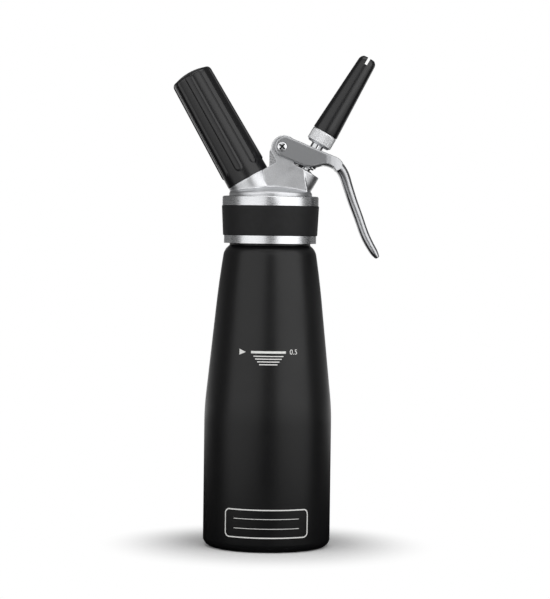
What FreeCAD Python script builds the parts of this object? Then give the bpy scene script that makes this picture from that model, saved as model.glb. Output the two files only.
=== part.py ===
"""Whipped cream dispenser: bottle, screw-on head, charger holder, lever, dispensing valve and decorator nozzle.

Millimetres, +Z up. The origin is the centre of the bottle's underside. The charger leans to -X and
the nozzle and lever lean to +X, all in the XZ plane. The pieces of a leaning axis are drawn upright,
with Z along that axis, and then leaned over.
"""
import FreeCAD, Part

import math
import os

import Sketcher
from FreeCAD import Placement, Rotation, Vector

doc = FreeCAD.newDocument("cream_dispenser")

# Driving dimensions in millimetres and degrees

DIMENSIONS = {
    # Bottle
    "bottle_radius": 39.0,
    "bottle_corner": 5.0,
    "bottle_wall": 1.2,
    "base_thickness": 1.6,
    "straight_height": 76.0,
    "belly_radius": 165.0,
    "cone_angle": 5.9,
    "waist_height": 149.5,
    "upper_curve_radius": 650.0,
    "shoulder_height": 178.0,
    "shoulder_radius": 28.6,
    "shoulder_rounding": 9.0,
    "neck_start": 184.2,
    "neck_top": 206.0,
    "neck_radius": 24.75,
    "neck_wall": 1.75,
    "lip_chamfer": 0.5,
    "neck_thread_pitch": 4.0,
    "neck_thread_width": 1.6,
    "neck_thread_height": 0.8,
    "neck_thread_turns": 2.0,
    "neck_thread_start": 191.0,
    "thread_gap": 0.3,
    # Head skirt and dome
    "skirt_gap": 1.3,
    "skirt_ring_radius": 28.25,
    "skirt_ring_height": 4.7,
    "upper_ring_radius": 29.45,
    "upper_ring_height": 5.8,
    "ring_rounding": 0.95,
    "dome_step": 0.5,
    "dome_edge_radius": 25.4,
    "dome_side": 1.3,
    "dome_rounding": 1.4,
    "dome_rise": 3.8,
    "gasket_height": 3.2,
    "gasket_inner_radius": 22.8,
    "gasket_gap": 0.1,
    # Grip band
    "band_height": 18.3,
    "band_seat_radius": 27.4,
    "band_lower_radius": 28.9,
    "band_upper_radius": 29.8,
    "band_rounding": 0.6,
    # Tower and lever pivot
    "tower_width": 22.0,
    "tower_left": 1.0,
    "tower_left_top": 241.3,
    "tower_flare": 5.2,
    "tower_flare_foot": 2.9,
    "tower_flare_height": 221.0,
    "tower_right_foot": 22.4,
    "tower_right_height": 217.0,
    "tower_top_gap": 0.3,
    "tower_heel": 7.0,
    "ear_radius": 7.85,
    "ear_across": 7.8,
    "ear_height": 243.5,
    "ear_right_angle": 20.0,
    "pivot_across": 6.6,
    "pivot_height": 244.3,
    "sleeve_radius": 3.0,
    "sleeve_bore": 1.6,
    "sleeve_flange_radius": 4.2,
    "sleeve_flange_height": 1.0,
    "running_gap": 0.05,
    "screw_head_radius": 2.8,
    "screw_head_height": 1.8,
    "screw_proud": 0.3,
    "recess_width": 0.8,
    "recess_length": 3.4,
    "screw_end_gap": 1.0,
    "screw_edge": 0.3,
    "recess_depth": 1.1,
    # Charger side, along the charger axis
    "charger_lean": 30.0,
    "charger_origin": 201.0,
    "charger_boss_radius": 13.4,
    "charger_boss_top": 28.0,
    "spigot_top": 40.0,
    "spigot_radius": 10.6,
    "spigot_bore": 9.5,
    "spigot_floor": 30.0,
    "spigot_thread_pitch": 2.5,
    "spigot_thread_width": 1.0,
    "spigot_thread_height": 0.5,
    "spigot_thread_turns": 2.5,
    "spigot_thread_start": 31.0,
    "carrier_radius": 6.0,
    "carrier_bottom": 17.0,
    "carrier_top": 29.5,
    "carrier_stub_radius": 4.0,
    "carrier_stub_height": 4.0,
    "gas_passage_radius": 1.2,
    "pin_radius": 0.9,
    "pin_bore": 0.4,
    "pin_root": 22.5,
    "pin_reach": 2.6,
    "pin_ring_section": 1.1,
    "pin_ring_height": 25.5,
    "ring_play": 0.1,
    "pin_funnel": 1.0,
    "pin_point": 1.0,
    "pin_edge": 0.1,
    "pin_clearance": 0.3,
    "check_ring_lift": 0.8,
    "check_ring_height": 2.4,
    "check_ring_wall": 1.2,
    "charger_seal_height": 1.5,
    "charger_neck_radius": 4.4,
    "charger_neck_length": 6.5,
    "charger_body_radius": 9.3,
    "charger_shoulder_length": 8.0,
    "charger_length": 65.5,
    "charger_wall": 1.6,
    "charger_hole": 1.15,
    "holder_base_radius": 13.8,
    "holder_top_radius": 12.45,
    "charger_play": 0.7,
    "holder_dome": 1.9,
    "holder_rounding": 1.6,
    "holder_bore": 9.6,
    "holder_end_wall": 4.6,
    "insert_radius": 12.3,
    "insert_length": 13.4,
    "insert_inset": 0.6,
    "rib_count": 8,
    "rib_width": 4.6,
    "rib_height": 0.5,
    "rib_start": 6.8,
    "rib_end_gap": 3.0,
    "rib_root": 0.3,
    "rib_root_rise": 2.0,
    "rib_turn": 8.0,
    # Valve side, along the nozzle axis
    "nozzle_lean": 30.0,
    "nozzle_origin": 196.6,
    "valve_boss_radius": 10.9,
    "valve_boss_top": 39.8,
    "seat_boss_radius": 8.0,
    "seat_height": 8.0,
    "seat_bore": 5.4,
    "seat_bore_depth": 8.0,
    "stem_radius": 3.9,
    "stem_bore": 2.2,
    "stem_hole_play": 0.3,
    "stem_floor": 2.0,
    "stem_shoulder": 8.0,
    "stem_top": 64.5,
    "stud_radius": 2.0,
    "stud_length": 4.6,
    "port_radius": 1.3,
    "port_height": 12.0,
    "flange_radius": 6.4,
    "flange_bottom": 43.1,
    "flange_top": 44.55,
    "spring_chamber_radius": 6.6,
    "spring_chamber_floor": 18.0,
    "guide_height": 4.0,
    "spring_wire": 1.1,
    "spring_radius": 5.1,
    "spring_turns": 7,
    "spring_end_gap": 0.1,
    "valve_seal_radius": 7.0,
    "valve_seal_height": 1.5,
    "foot_nut_flats": 10.0,
    "foot_nut_height": 2.6,
    "stem_thread_pitch": 1.5,
    "stem_thread_width": 0.6,
    "stem_thread_height": 0.5,
    "stem_thread_turns": 3.0,
    "stem_thread_start": 58.6,
    # Collar and nozzle
    "collar_bottom": 57.1,
    "collar_height": 8.6,
    "collar_radius": 7.95,
    "collar_chamfer": 1.4,
    "collar_spigot_radius": 6.0,
    "collar_spigot_height": 7.0,
    "collar_passage": 3.2,
    "nozzle_seal_height": 1.4,
    "nozzle_base_radius": 8.1,
    "nozzle_tip_radius": 5.6,
    "nozzle_length": 52.6,
    "nozzle_rounding": 3.0,
    "nozzle_mouth": 3.2,
    "nozzle_throat": 4.6,
    "nozzle_end_radius": 4.0,
    "mouth_land": 0.4,
    "throat_length": 2.0,
    "slot_width": 1.6,
    "slot_depth": 4.6,
    "slot_count": 2,
    # Lever
    "lever_width": 27.4,
    "fork_gap": 22.6,
    "lever_end_across": 1.8,
    "lever_end_radius": 6.4,
    "lever_slope": 21.5,
    "web_thickness": 3.0,
    "web_clearance": 9.7,
    "knee_across": 37.9,
    "knee_drop": 7.8,
    "knee_rounding": 13.0,
    "inner_knee_across": 33.0,
    "inner_knee_drop": 9.0,
    "inner_knee_rounding": 6.0,
    "belly_across": 17.1,
    "belly_drop": 12.9,
    "belly_rounding": 16.0,
    "arm_bend_across": 52.6,
    "arm_bend_drop": 47.8,
    "inner_bend_across": 47.2,
    "inner_bend_drop": 50.4,
    "tip_across": 61.6,
    "tip_drop": 64.4,
    "heel_across": 59.2,
    "heel_drop": 68.1,
    "toe_across": 54.0,
    "toe_drop": 64.7,
    "fork_end_across": 28.9,
    "arm_width": 14.0,
    "tip_width": 15.6,
    "shoulder_start": 26.5,
    "shoulder_end": 40.0,
    "nub_radius": 5.0,
    "nub_left_rise": 1.0,
    "nub_right_rise": 2.5,
    "slot_half_width": 4.7,
    "slot_half_length": 6.2,
}

sheet = doc.addObject("Spreadsheet::Sheet", "size")


def fill_sheet():
    """Write each driving dimension in a row of its own, with its name as the alias."""
    for row, (name, value) in enumerate(DIMENSIONS.items(), start=1):
        sheet.set(f"A{row}", name)
        sheet.set(f"B{row}", str(value))
        sheet.setAlias(f"B{row}", name)
    doc.recompute()


class Length:
    """A number with the sheet formula that it comes from. Arithmetic keeps both in step."""

    def __init__(self, value, formula):
        self.value = float(value)
        self.formula = formula

    def __add__(self, other):
        other = as_length(other)
        return Length(self.value + other.value, f"({self.formula} + {other.formula})")

    def __sub__(self, other):
        other = as_length(other)
        return Length(self.value - other.value, f"({self.formula} - {other.formula})")

    def __mul__(self, other):
        other = as_length(other)
        return Length(self.value * other.value, f"({self.formula} * {other.formula})")

    def __truediv__(self, other):
        other = as_length(other)
        return Length(self.value / other.value, f"({self.formula} / {other.formula})")

    def __radd__(self, other):
        return as_length(other) + self

    def __rsub__(self, other):
        return as_length(other) - self

    def __rmul__(self, other):
        return as_length(other) * self

    def __neg__(self):
        return 0 - self


def as_length(value):
    """Take a bare number or a Length as a Length."""
    if isinstance(value, Length):
        return value
    return Length(value, f"({value:.9g})")


class Sizes:
    """The driving dimensions by name, each bound to its cell."""

    def __getattr__(self, name):
        return Length(sheet.get(name), f"size.{name}")


size = Sizes()


def sine(angle):
    return Length(math.sin(math.radians(angle.value)), f"sin({angle.formula})")


def cosine(angle):
    return Length(math.cos(math.radians(angle.value)), f"cos({angle.formula})")


def tangent(angle):
    return Length(math.tan(math.radians(angle.value)), f"tan({angle.formula})")


# Drawing helpers


def bind(thing, path, length):
    """Set a property to a formula of the sheet."""
    thing.setExpression(path, as_length(length).formula)


def origin_plane(body, role):
    return next(item for item in body.Origin.OriginFeatures if item.Role == role)


def new_body(name):
    body = doc.addObject("PartDesign::Body", name)
    body.Label = name
    return body


def arc_between(start, end, radius):
    """The shorter arc from start to end. A positive radius turns left, a negative one right."""
    chord = end - start
    middle = start + chord * 0.5
    left = Vector(-chord.y, chord.x, 0).normalize()
    rise = math.sqrt(max(radius * radius - chord.Length ** 2 / 4, 0.0))
    centre = middle + left * (rise if radius > 0 else -rise)
    circle = Part.Circle(centre, Vector(0, 0, 1), abs(radius))
    first, last = (start, end) if radius > 0 else (end, start)
    angles = [math.atan2(point.y - centre.y, point.x - centre.x) for point in (first, last)]
    return Part.ArcOfCircle(circle, angles[0], angles[1])


def pin_point(sketch, edge, end, across, up):
    """Hold one end of an edge at a place given by two formulas."""
    for kind, axis, length in (("DistanceX", -2, across), ("DistanceY", -1, up)):
        length = as_length(length)
        if abs(length.value) < 1e-9:
            sketch.addConstraint(Sketcher.Constraint("PointOnObject", edge, end, axis))
            continue
        index = sketch.addConstraint(Sketcher.Constraint(kind, -1, 1, edge, end, length.value))
        bind(sketch, f"Constraints[{index}]", length)


def draw(sketch, corners):
    """Draw a closed outline. A corner is (across, up), or (across, up, radius) after an arc."""
    places = [Vector(as_length(corner[0]).value, as_length(corner[1]).value, 0) for corner in corners]
    edges = []
    for index, start in enumerate(places):
        after = (index + 1) % len(places)
        radius = as_length(corners[after][2]) if len(corners[after]) > 2 else None
        if radius is None:
            edge = sketch.addGeometry(Part.LineSegment(start, places[after]))
            edges.append((edge, 1, 2))
            continue
        edge = sketch.addGeometry(arc_between(start, places[after], radius.value))
        turn = Sketcher.Constraint("Radius", edge, abs(radius.value))
        bound = radius if radius.value > 0 else -radius
        bind(sketch, f"Constraints[{sketch.addConstraint(turn)}]", bound)
        edges.append((edge, 1, 2) if radius.value > 0 else (edge, 2, 1))
    for index, (edge, first, last) in enumerate(edges):
        following = edges[(index + 1) % len(edges)]
        sketch.addConstraint(Sketcher.Constraint("Coincident", edge, last, following[0], following[1]))
        pin_point(sketch, edge, first, corners[index][0], corners[index][1])


def new_sketch(body, role, *outlines, lean=None, height=None, turn=None):
    """A sketch on one of the body's planes, leaned to +X or -X about a point up the Z axis."""
    sketch = body.newObject("Sketcher::SketchObject", body.Label + "_outline")
    sketch.AttachmentSupport = (origin_plane(body, role), [""])
    sketch.MapMode = "FlatFace"
    if lean is not None:
        side = Vector(0, 0, -1) if lean.value > 0 else Vector(0, 0, 1)
        lean = lean if lean.value > 0 else -lean
        sketch.AttachmentOffset = Placement(Vector(0, height.value, 0), Rotation(side, lean.value))
        bind(sketch, ".AttachmentOffset.Base.y", height)
        bind(sketch, ".AttachmentOffset.Rotation.Angle", lean)
    if turn is not None:
        sketch.AttachmentOffset = Placement(Vector(0, 0, 0), Rotation(Vector(0, 1, 0), turn.value))
        bind(sketch, ".AttachmentOffset.Rotation.Angle", turn)
    for corners in outlines:
        draw(sketch, corners)
    return sketch


def revolve(body, corners, kind="Revolution", **place):
    """Turn an outline of (radius, height) about the axis, adding it or cutting it away."""
    sketch = new_sketch(body, "XZ_Plane", corners, **place)
    feature = body.newObject(f"PartDesign::{kind}", f"{body.Label}_{kind.lower()}")
    feature.Profile = sketch
    feature.ReferenceAxis = (sketch, ["V_Axis"])
    feature.Angle = 360
    doc.recompute()
    return feature


def extrude(body, role, outlines, length, kind="Pad", **place):
    """Push an outline equally both ways out of its plane, adding it or cutting it away."""
    sketch = new_sketch(body, role, *outlines, **place)
    feature = body.newObject(f"PartDesign::{kind}", f"{body.Label}_{kind.lower()}")
    feature.Profile = sketch
    feature.Midplane = True
    bind(feature, "Length", length)
    doc.recompute()
    return feature


def add_thread(body, root, crest, start, pitch, width, turns, **place):
    """Wind a right-handed ridge round the axis, from a root circle out or in to its crest."""
    sunk = 0.25 if crest.value > root.value else -0.25
    corners = [
        (root - sunk, start - width / 2),
        (crest, start - width / 4),
        (crest, start + width / 4),
        (root - sunk, start + width / 2),
    ]
    if crest.value < root.value:
        corners = corners[::-1]
    sketch = new_sketch(body, "XZ_Plane", corners, **place)
    ridge = body.newObject("PartDesign::AdditiveHelix", f"{body.Label}_thread")
    ridge.Profile = sketch
    ridge.ReferenceAxis = (sketch, ["V_Axis"])
    ridge.Mode = 1
    bind(ridge, "Pitch", pitch)
    bind(ridge, "Turns", turns)
    doc.recompute()


def ring(inner, outer, bottom, top):
    """The outline of a plain ring."""
    return [(inner, bottom), (outer, bottom), (outer, top), (inner, top)]


def disc(radius, bottom, top):
    """The outline of a plain solid cylinder."""
    return [(0, bottom), (radius, bottom), (radius, top), (0, top)]


def backwards(chain):
    """The same open chain of corners, walked from its other end."""
    turned = []
    radius = None
    for corner in reversed(chain):
        turned.append((corner[0], corner[1]) if radius is None else (corner[0], corner[1], -radius))
        radius = corner[2] if len(corner) > 2 else None
    return turned


def lean_over(thing, side):
    """Lean an upright piece onto the charger axis or the nozzle axis."""
    if side == "charger":
        height, angle, axis = size.charger_origin, size.charger_lean, Vector(0, -1, 0)
    else:
        height, angle, axis = size.nozzle_origin, size.nozzle_lean, Vector(0, 1, 0)
    thing.Placement = Placement(Vector(0, 0, height.value), Rotation(axis, angle.value))
    bind(thing, ".Placement.Base.z", height)
    bind(thing, ".Placement.Rotation.Angle", angle)


def turned_piece(name, corners, side=None):
    """A sub-part that is one turned outline."""
    body = new_body(name)
    revolve(body, corners)
    if side:
        lean_over(body, side)
    return body


def torus_piece(name, ring_radius, wire_radius, height, side):
    """A round-section sealing ring, made as a torus on a leaning axis."""
    torus = doc.addObject("Part::Torus", name)
    torus.Label = name
    bind(torus, "Radius1", ring_radius)
    bind(torus, "Radius2", wire_radius)
    if side == "charger":
        origin, angle, axis, way = size.charger_origin, size.charger_lean, Vector(0, -1, 0), -1
    else:
        origin, angle, axis, way = size.nozzle_origin, size.nozzle_lean, Vector(0, 1, 0), 1
    across = way * height * sine(angle)
    up = origin + height * cosine(angle)
    torus.Placement = Placement(Vector(across.value, 0, up.value), Rotation(axis, angle.value))
    bind(torus, ".Placement.Base.x", across)
    bind(torus, ".Placement.Base.z", up)
    bind(torus, ".Placement.Rotation.Angle", angle)
    return torus


# Shared places

fill_sheet()

SKIRT_BOTTOM = size.neck_start + size.skirt_gap
BAND_BOTTOM = SKIRT_BOTTOM + size.skirt_ring_height
BAND_TOP = BAND_BOTTOM + size.band_height
RING_TOP = BAND_TOP + size.upper_ring_height
CEILING = size.neck_top + size.gasket_height
DOME_TOP = RING_TOP + size.dome_side + size.dome_rounding + size.dome_rise
SKIRT_BORE = size.neck_radius + size.neck_thread_height + size.thread_gap
INSERT_BORE = size.spigot_radius + size.spigot_thread_height + size.thread_gap
COLLAR_BORE = size.stem_radius + size.stem_thread_height + size.thread_gap
STEM_HOLE = size.stem_radius + size.running_gap
SLEEVE_HOLE = size.sleeve_radius + size.running_gap
CHARGER_TIP = size.carrier_top + size.charger_seal_height
CHARGER_END = CHARGER_TIP + size.charger_length
HOLDER_TOP = CHARGER_END + size.charger_play + size.holder_end_wall
COLLAR_TOP = size.collar_bottom + size.collar_height
NOZZLE_TOP = COLLAR_TOP + size.running_gap + size.nozzle_length
SLIVER = 0.02
CUT = 1
HEXAGON_STEP = 60


# Bottle


def bottle_side(inset, corner_height):
    """The side from the base corner to the neck, set in by the wall for the inside."""
    slope = size.cone_angle
    cone_radius = size.bottle_radius - size.belly_radius * (1 - cosine(slope))
    cone_height = size.straight_height + size.belly_radius * sine(slope)
    waist_radius = cone_radius - (size.waist_height - cone_height) * tangent(slope)
    return [
        (size.bottle_radius - inset, corner_height),
        (size.bottle_radius - inset, size.straight_height),
        (cone_radius - inset, cone_height, size.belly_radius - inset),
        (waist_radius - inset, size.waist_height),
        (size.shoulder_radius - inset, size.shoulder_height, size.upper_curve_radius - inset),
    ]


def make_bottle():
    body = new_body("bottle")
    lip = size.lip_chamfer
    inner_neck = size.neck_radius - size.neck_wall
    inner_corner = size.bottle_corner - size.bottle_wall
    outside = [(size.bottle_radius - size.bottle_corner, 0)]
    outside += bottle_side(as_length(0), size.bottle_corner)
    outside[1] += (size.bottle_corner,)
    outside += [
        (size.neck_radius, size.neck_start, size.shoulder_rounding),
        (size.neck_radius, size.neck_top - lip),
        (size.neck_radius - lip, size.neck_top),
    ]
    inside = [(0, size.base_thickness)]
    inside += [(size.bottle_radius - size.bottle_corner, size.base_thickness)]
    inside += bottle_side(size.bottle_wall, size.base_thickness + inner_corner)
    inside[2] += (inner_corner,)
    inside += [
        (inner_neck, size.neck_start, size.shoulder_rounding - size.bottle_wall),
        (inner_neck, size.neck_top - lip),
        (inner_neck + lip, size.neck_top),
    ]
    revolve(body, [(0, 0)] + outside + backwards(inside))
    add_thread(
        body,
        size.neck_radius,
        size.neck_radius + size.neck_thread_height,
        size.neck_thread_start,
        size.neck_thread_pitch,
        size.neck_thread_width,
        size.neck_thread_turns,
    )
    return body


# Head


def head_form():
    """The turned outside of the head: two rings, the seat of the grip band and the dome."""
    edge = size.dome_edge_radius
    shoulder = edge - size.dome_rounding
    side_top = RING_TOP + size.dome_side
    rise = size.dome_rise
    dome_radius = (shoulder * shoulder + rise * rise) / (2 * rise)
    rounding = size.ring_rounding
    return [
        (0, SKIRT_BOTTOM),
        (size.skirt_ring_radius, SKIRT_BOTTOM),
        (size.skirt_ring_radius, BAND_BOTTOM),
        (size.band_seat_radius, BAND_BOTTOM),
        (size.band_seat_radius, BAND_TOP),
        (size.upper_ring_radius, BAND_TOP),
        (size.upper_ring_radius, RING_TOP - rounding),
        (size.upper_ring_radius - rounding, RING_TOP, rounding),
        (edge + size.dome_step, RING_TOP),
        (edge, RING_TOP - size.dome_step),
        (edge, side_top),
        (shoulder, side_top + size.dome_rounding, size.dome_rounding),
        (0, DOME_TOP, dome_radius),
    ]


def tower_form():
    """The side view of the tower with the ear that carries the lever's pivot."""
    left = -size.tower_left
    root = CEILING + CUT
    top_of_ear = size.ear_height + size.ear_radius
    right = size.ear_across + size.ear_radius * cosine(size.ear_right_angle)
    right_height = size.ear_height - size.ear_radius * sine(size.ear_right_angle)
    boss_across = size.valve_boss_top * sine(size.nozzle_lean)
    boss_height = size.nozzle_origin + size.valve_boss_top * cosine(size.nozzle_lean)
    flare = -size.tower_flare
    flare_foot = -size.tower_flare_foot
    return [
        (flare_foot, root),
        (size.tower_right_foot, root),
        (size.tower_right_foot, size.tower_right_height),
        (boss_across, boss_height - size.tower_top_gap),
        (
            boss_across - size.tower_heel * cosine(size.nozzle_lean),
            boss_height - size.tower_top_gap + size.tower_heel * sine(size.nozzle_lean),
        ),
        (right, right_height),
        (size.ear_across, top_of_ear, size.ear_radius),
        (size.ear_across - size.ear_radius, size.ear_height, size.ear_radius),
        (left, size.tower_left_top),
        (left, under_holder(left)),
        (flare, under_holder(flare)),
        (flare_foot, size.tower_flare_height),
    ]


def under_holder(across):
    """The height just under the plane that the charger's holder is screwed down to."""
    along = size.charger_boss_top - size.tower_top_gap + across * sine(size.charger_lean)
    return size.charger_origin + along / cosine(size.charger_lean)


def make_head_body():
    body = new_body("head_body")
    charger = {"lean": -size.charger_lean, "height": size.charger_origin}
    valve = {"lean": size.nozzle_lean, "height": size.nozzle_origin}
    revolve(body, head_form())
    boss = [
        (0, 0),
        (size.charger_boss_radius, 0),
        (size.charger_boss_radius, size.charger_boss_top),
        (size.spigot_radius, size.charger_boss_top),
        (size.spigot_radius, size.spigot_top),
        (0, size.spigot_top),
    ]
    revolve(body, boss, **charger)
    revolve(body, disc(size.valve_boss_radius, 0, size.valve_boss_top), **valve)
    extrude(body, "XZ_Plane", [tower_form()], size.tower_width)
    revolve(body, disc(SKIRT_BORE, SKIRT_BOTTOM - CUT, CEILING), "Groove")
    seat_root = (CEILING + CUT - size.nozzle_origin) / cosine(size.nozzle_lean)
    seat_root = seat_root + size.seat_boss_radius * tangent(size.nozzle_lean)
    revolve(body, disc(size.seat_boss_radius, size.seat_height, seat_root), **valve)
    seat_end = size.seat_height + size.seat_bore_depth
    valve_bore = [
        (0, size.seat_height - CUT),
        (size.seat_bore, size.seat_height - CUT),
        (size.seat_bore, seat_end),
        (STEM_HOLE + size.stem_hole_play, seat_end),
        (STEM_HOLE + size.stem_hole_play, size.spring_chamber_floor),
        (size.spring_chamber_radius, size.spring_chamber_floor),
        (size.spring_chamber_radius, size.valve_boss_top + CUT),
        (0, size.valve_boss_top + CUT),
    ]
    revolve(body, valve_bore, "Groove", **valve)
    charger_bore = [
        (0, 2),
        (size.gas_passage_radius, 2),
        (size.gas_passage_radius, size.carrier_bottom),
        (size.carrier_radius + SLIVER, size.carrier_bottom),
        (size.carrier_radius + SLIVER, size.spigot_floor),
        (size.spigot_bore, size.spigot_floor),
        (size.spigot_bore, size.spigot_top + CUT),
        (0, size.spigot_top + CUT),
    ]
    revolve(body, charger_bore, "Groove", **charger)
    add_pivot_hole(body, size.sleeve_radius + SLIVER, size.tower_width + 2 * CUT)
    add_thread(
        body,
        SKIRT_BORE,
        size.neck_radius + size.thread_gap,
        size.neck_thread_start - size.neck_thread_pitch / 2,
        size.neck_thread_pitch,
        size.neck_thread_width,
        size.neck_thread_turns,
    )
    add_thread(
        body,
        size.spigot_radius,
        size.spigot_radius + size.spigot_thread_height,
        size.spigot_thread_start,
        size.spigot_thread_pitch,
        size.spigot_thread_width,
        size.spigot_thread_turns,
        **charger,
    )
    return body


def add_pivot_hole(body, radius, length):
    """Drill a hole across the body on the lever's pivot axis."""
    sketch = new_sketch(body, "XZ_Plane")
    place = Vector(size.pivot_across.value, size.pivot_height.value, 0)
    circle = sketch.addGeometry(Part.Circle(place, Vector(0, 0, 1), radius.value))
    index = sketch.addConstraint(Sketcher.Constraint("Radius", circle, radius.value))
    bind(sketch, f"Constraints[{index}]", radius)
    pin_point(sketch, circle, 3, size.pivot_across, size.pivot_height)
    feature = body.newObject("PartDesign::Pocket", f"{body.Label}_pivot_hole")
    feature.Profile = sketch
    feature.Midplane = True
    bind(feature, "Length", length)
    doc.recompute()


def make_grip_band():
    rounding = size.band_rounding
    low, high = size.band_lower_radius, size.band_upper_radius
    corners = [
        (size.band_seat_radius + SLIVER, BAND_BOTTOM),
        (low - rounding, BAND_BOTTOM),
        (low, BAND_BOTTOM + rounding, rounding),
        (high, BAND_TOP - rounding),
        (high - rounding, BAND_TOP, rounding),
        (size.band_seat_radius + SLIVER, BAND_TOP),
    ]
    return turned_piece("grip_band", corners)


def make_head_gasket():
    outer = SKIRT_BORE - size.gasket_gap
    return turned_piece("head_gasket", ring(size.gasket_inner_radius, outer, size.neck_top, CEILING))


# Charger side


def make_pin_carrier():
    """The plug that holds the piercing pin, with a groove for its sealing ring."""
    groove_low = size.pin_ring_height - size.pin_ring_section / 2 - size.ring_play
    groove_high = size.pin_ring_height + size.pin_ring_section / 2 + size.ring_play
    groove_radius = size.carrier_radius - size.pin_ring_section
    stub_top = size.carrier_bottom + size.carrier_stub_height
    corners = [
        (size.gas_passage_radius, size.carrier_bottom),
        (size.carrier_stub_radius, size.carrier_bottom),
        (size.carrier_stub_radius, stub_top),
        (size.carrier_radius, stub_top),
        (size.carrier_radius, groove_low),
        (groove_radius, groove_low),
        (groove_radius, groove_high),
        (size.carrier_radius, groove_high),
        (size.carrier_radius, size.carrier_top),
        (size.pin_radius + SLIVER, size.carrier_top),
        (size.pin_radius + SLIVER, size.pin_root),
        (size.gas_passage_radius, size.pin_root - size.pin_funnel),
    ]
    return turned_piece("pin_carrier", corners, "charger")


def make_piercing_pin():
    top = size.carrier_top + size.pin_reach
    corners = [
        (size.pin_bore, size.pin_root),
        (size.pin_radius, size.pin_root),
        (size.pin_radius, top - size.pin_point),
        (size.pin_bore + size.pin_edge, top),
        (size.pin_bore, top),
    ]
    return turned_piece("piercing_pin", corners, "charger")


def make_charger_seal():
    corners = ring(size.pin_radius + size.pin_clearance, size.charger_neck_radius, size.carrier_top, CHARGER_TIP)
    return turned_piece("charger_seal", corners, "charger")


def make_check_valve_ring():
    bottom = size.carrier_bottom + size.check_ring_lift
    inner = size.carrier_stub_radius + SLIVER
    outer = inner + size.check_ring_wall
    return turned_piece("check_valve_ring", ring(inner, outer, bottom, bottom + size.check_ring_height), "charger")


def make_pin_o_ring():
    wire = size.pin_ring_section / 2
    return torus_piece("pin_o_ring", size.carrier_radius - wire, wire, size.pin_ring_height, "charger")


def make_gas_charger():
    """The steel capsule, mouth down, with the hole that the pin makes in its cap."""
    wall = size.charger_wall
    shoulder = CHARGER_TIP + size.charger_neck_length
    body_start = shoulder + size.charger_shoulder_length
    round_start = CHARGER_END - size.charger_body_radius
    bore = size.charger_hole
    middle = (size.charger_neck_radius + size.charger_body_radius) / 2
    bend = size.charger_shoulder_length * 0.68
    half = (shoulder + body_start) / 2
    corners = [
        (bore, CHARGER_TIP),
        (size.charger_neck_radius, CHARGER_TIP),
        (size.charger_neck_radius, shoulder),
        (middle, half, -bend),
        (size.charger_body_radius, body_start, bend),
        (size.charger_body_radius, round_start),
        (0, CHARGER_END, size.charger_body_radius),
        (0, CHARGER_END - wall),
        (size.charger_body_radius - wall, round_start, -(size.charger_body_radius - wall)),
        (size.charger_body_radius - wall, body_start),
        (size.charger_neck_radius - wall, shoulder),
        (bore, shoulder),
    ]
    return turned_piece("gas_charger", corners, "charger")


def make_charger_holder():
    """The ribbed cap that screws the charger down."""
    body = new_body("charger_holder")
    bottom = size.charger_boss_top
    edge = size.holder_rounding
    taper = (size.holder_base_radius - size.holder_top_radius) / (HOLDER_TOP - bottom)
    side_top = HOLDER_TOP - size.holder_dome - edge
    insert_top = bottom + size.insert_inset + size.insert_length
    side_radius = size.holder_top_radius
    chord = side_radius - edge
    dome_radius = (chord * chord + size.holder_dome * size.holder_dome) / (2 * size.holder_dome)
    corners = [
        (size.insert_radius + SLIVER, bottom),
        (size.holder_base_radius, bottom),
        (side_radius, side_top),
        (side_radius - edge, side_top + edge, edge),
        (0, HOLDER_TOP, dome_radius),
        (0, HOLDER_TOP - size.holder_end_wall),
        (size.holder_bore, HOLDER_TOP - size.holder_end_wall),
        (size.holder_bore, insert_top),
        (size.insert_radius + SLIVER, insert_top),
    ]
    revolve(body, corners)
    root = size.rib_root
    rib_low = bottom + size.rib_start
    rib_high = side_top - size.rib_end_gap / 2
    low_radius = size.holder_base_radius - taper * size.rib_start + size.rib_height
    high_radius = side_radius + size.rib_height
    rib = [
        (size.insert_radius + root, rib_low + size.rib_root_rise),
        (low_radius - size.rib_height, rib_low),
        (low_radius, rib_low + size.rib_height),
        (high_radius, rib_high),
        (side_radius - CUT, rib_high + size.rib_root_rise),
        (size.holder_bore + CUT, rib_high + size.rib_root_rise),
        (size.holder_bore + CUT, insert_top + size.rib_root_rise),
        (size.insert_radius + root, insert_top + CUT),
    ]
    pad = extrude(body, "XZ_Plane", [rib], size.rib_width, turn=size.rib_turn)
    pattern = body.newObject("PartDesign::PolarPattern", "ribs")
    pattern.Originals = [pad]
    pattern.Axis = (origin_plane(body, "Z_Axis"), [""])
    pattern.Angle = 360
    bind(pattern, "Occurrences", size.rib_count)
    body.Tip = pattern
    doc.recompute()
    lean_over(body, "charger")
    return body


def make_holder_insert():
    """The threaded metal sleeve inside the holder's mouth."""
    body = new_body("holder_insert")
    bottom = size.charger_boss_top + size.insert_inset
    revolve(body, ring(INSERT_BORE, size.insert_radius, bottom, bottom + size.insert_length))
    add_thread(
        body,
        INSERT_BORE,
        size.spigot_radius + size.thread_gap,
        size.spigot_thread_start + size.spigot_thread_pitch / 2,
        size.spigot_thread_pitch,
        size.spigot_thread_width,
        size.spigot_thread_turns,
    )
    lean_over(body, "charger")
    return body


# Valve side


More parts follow.
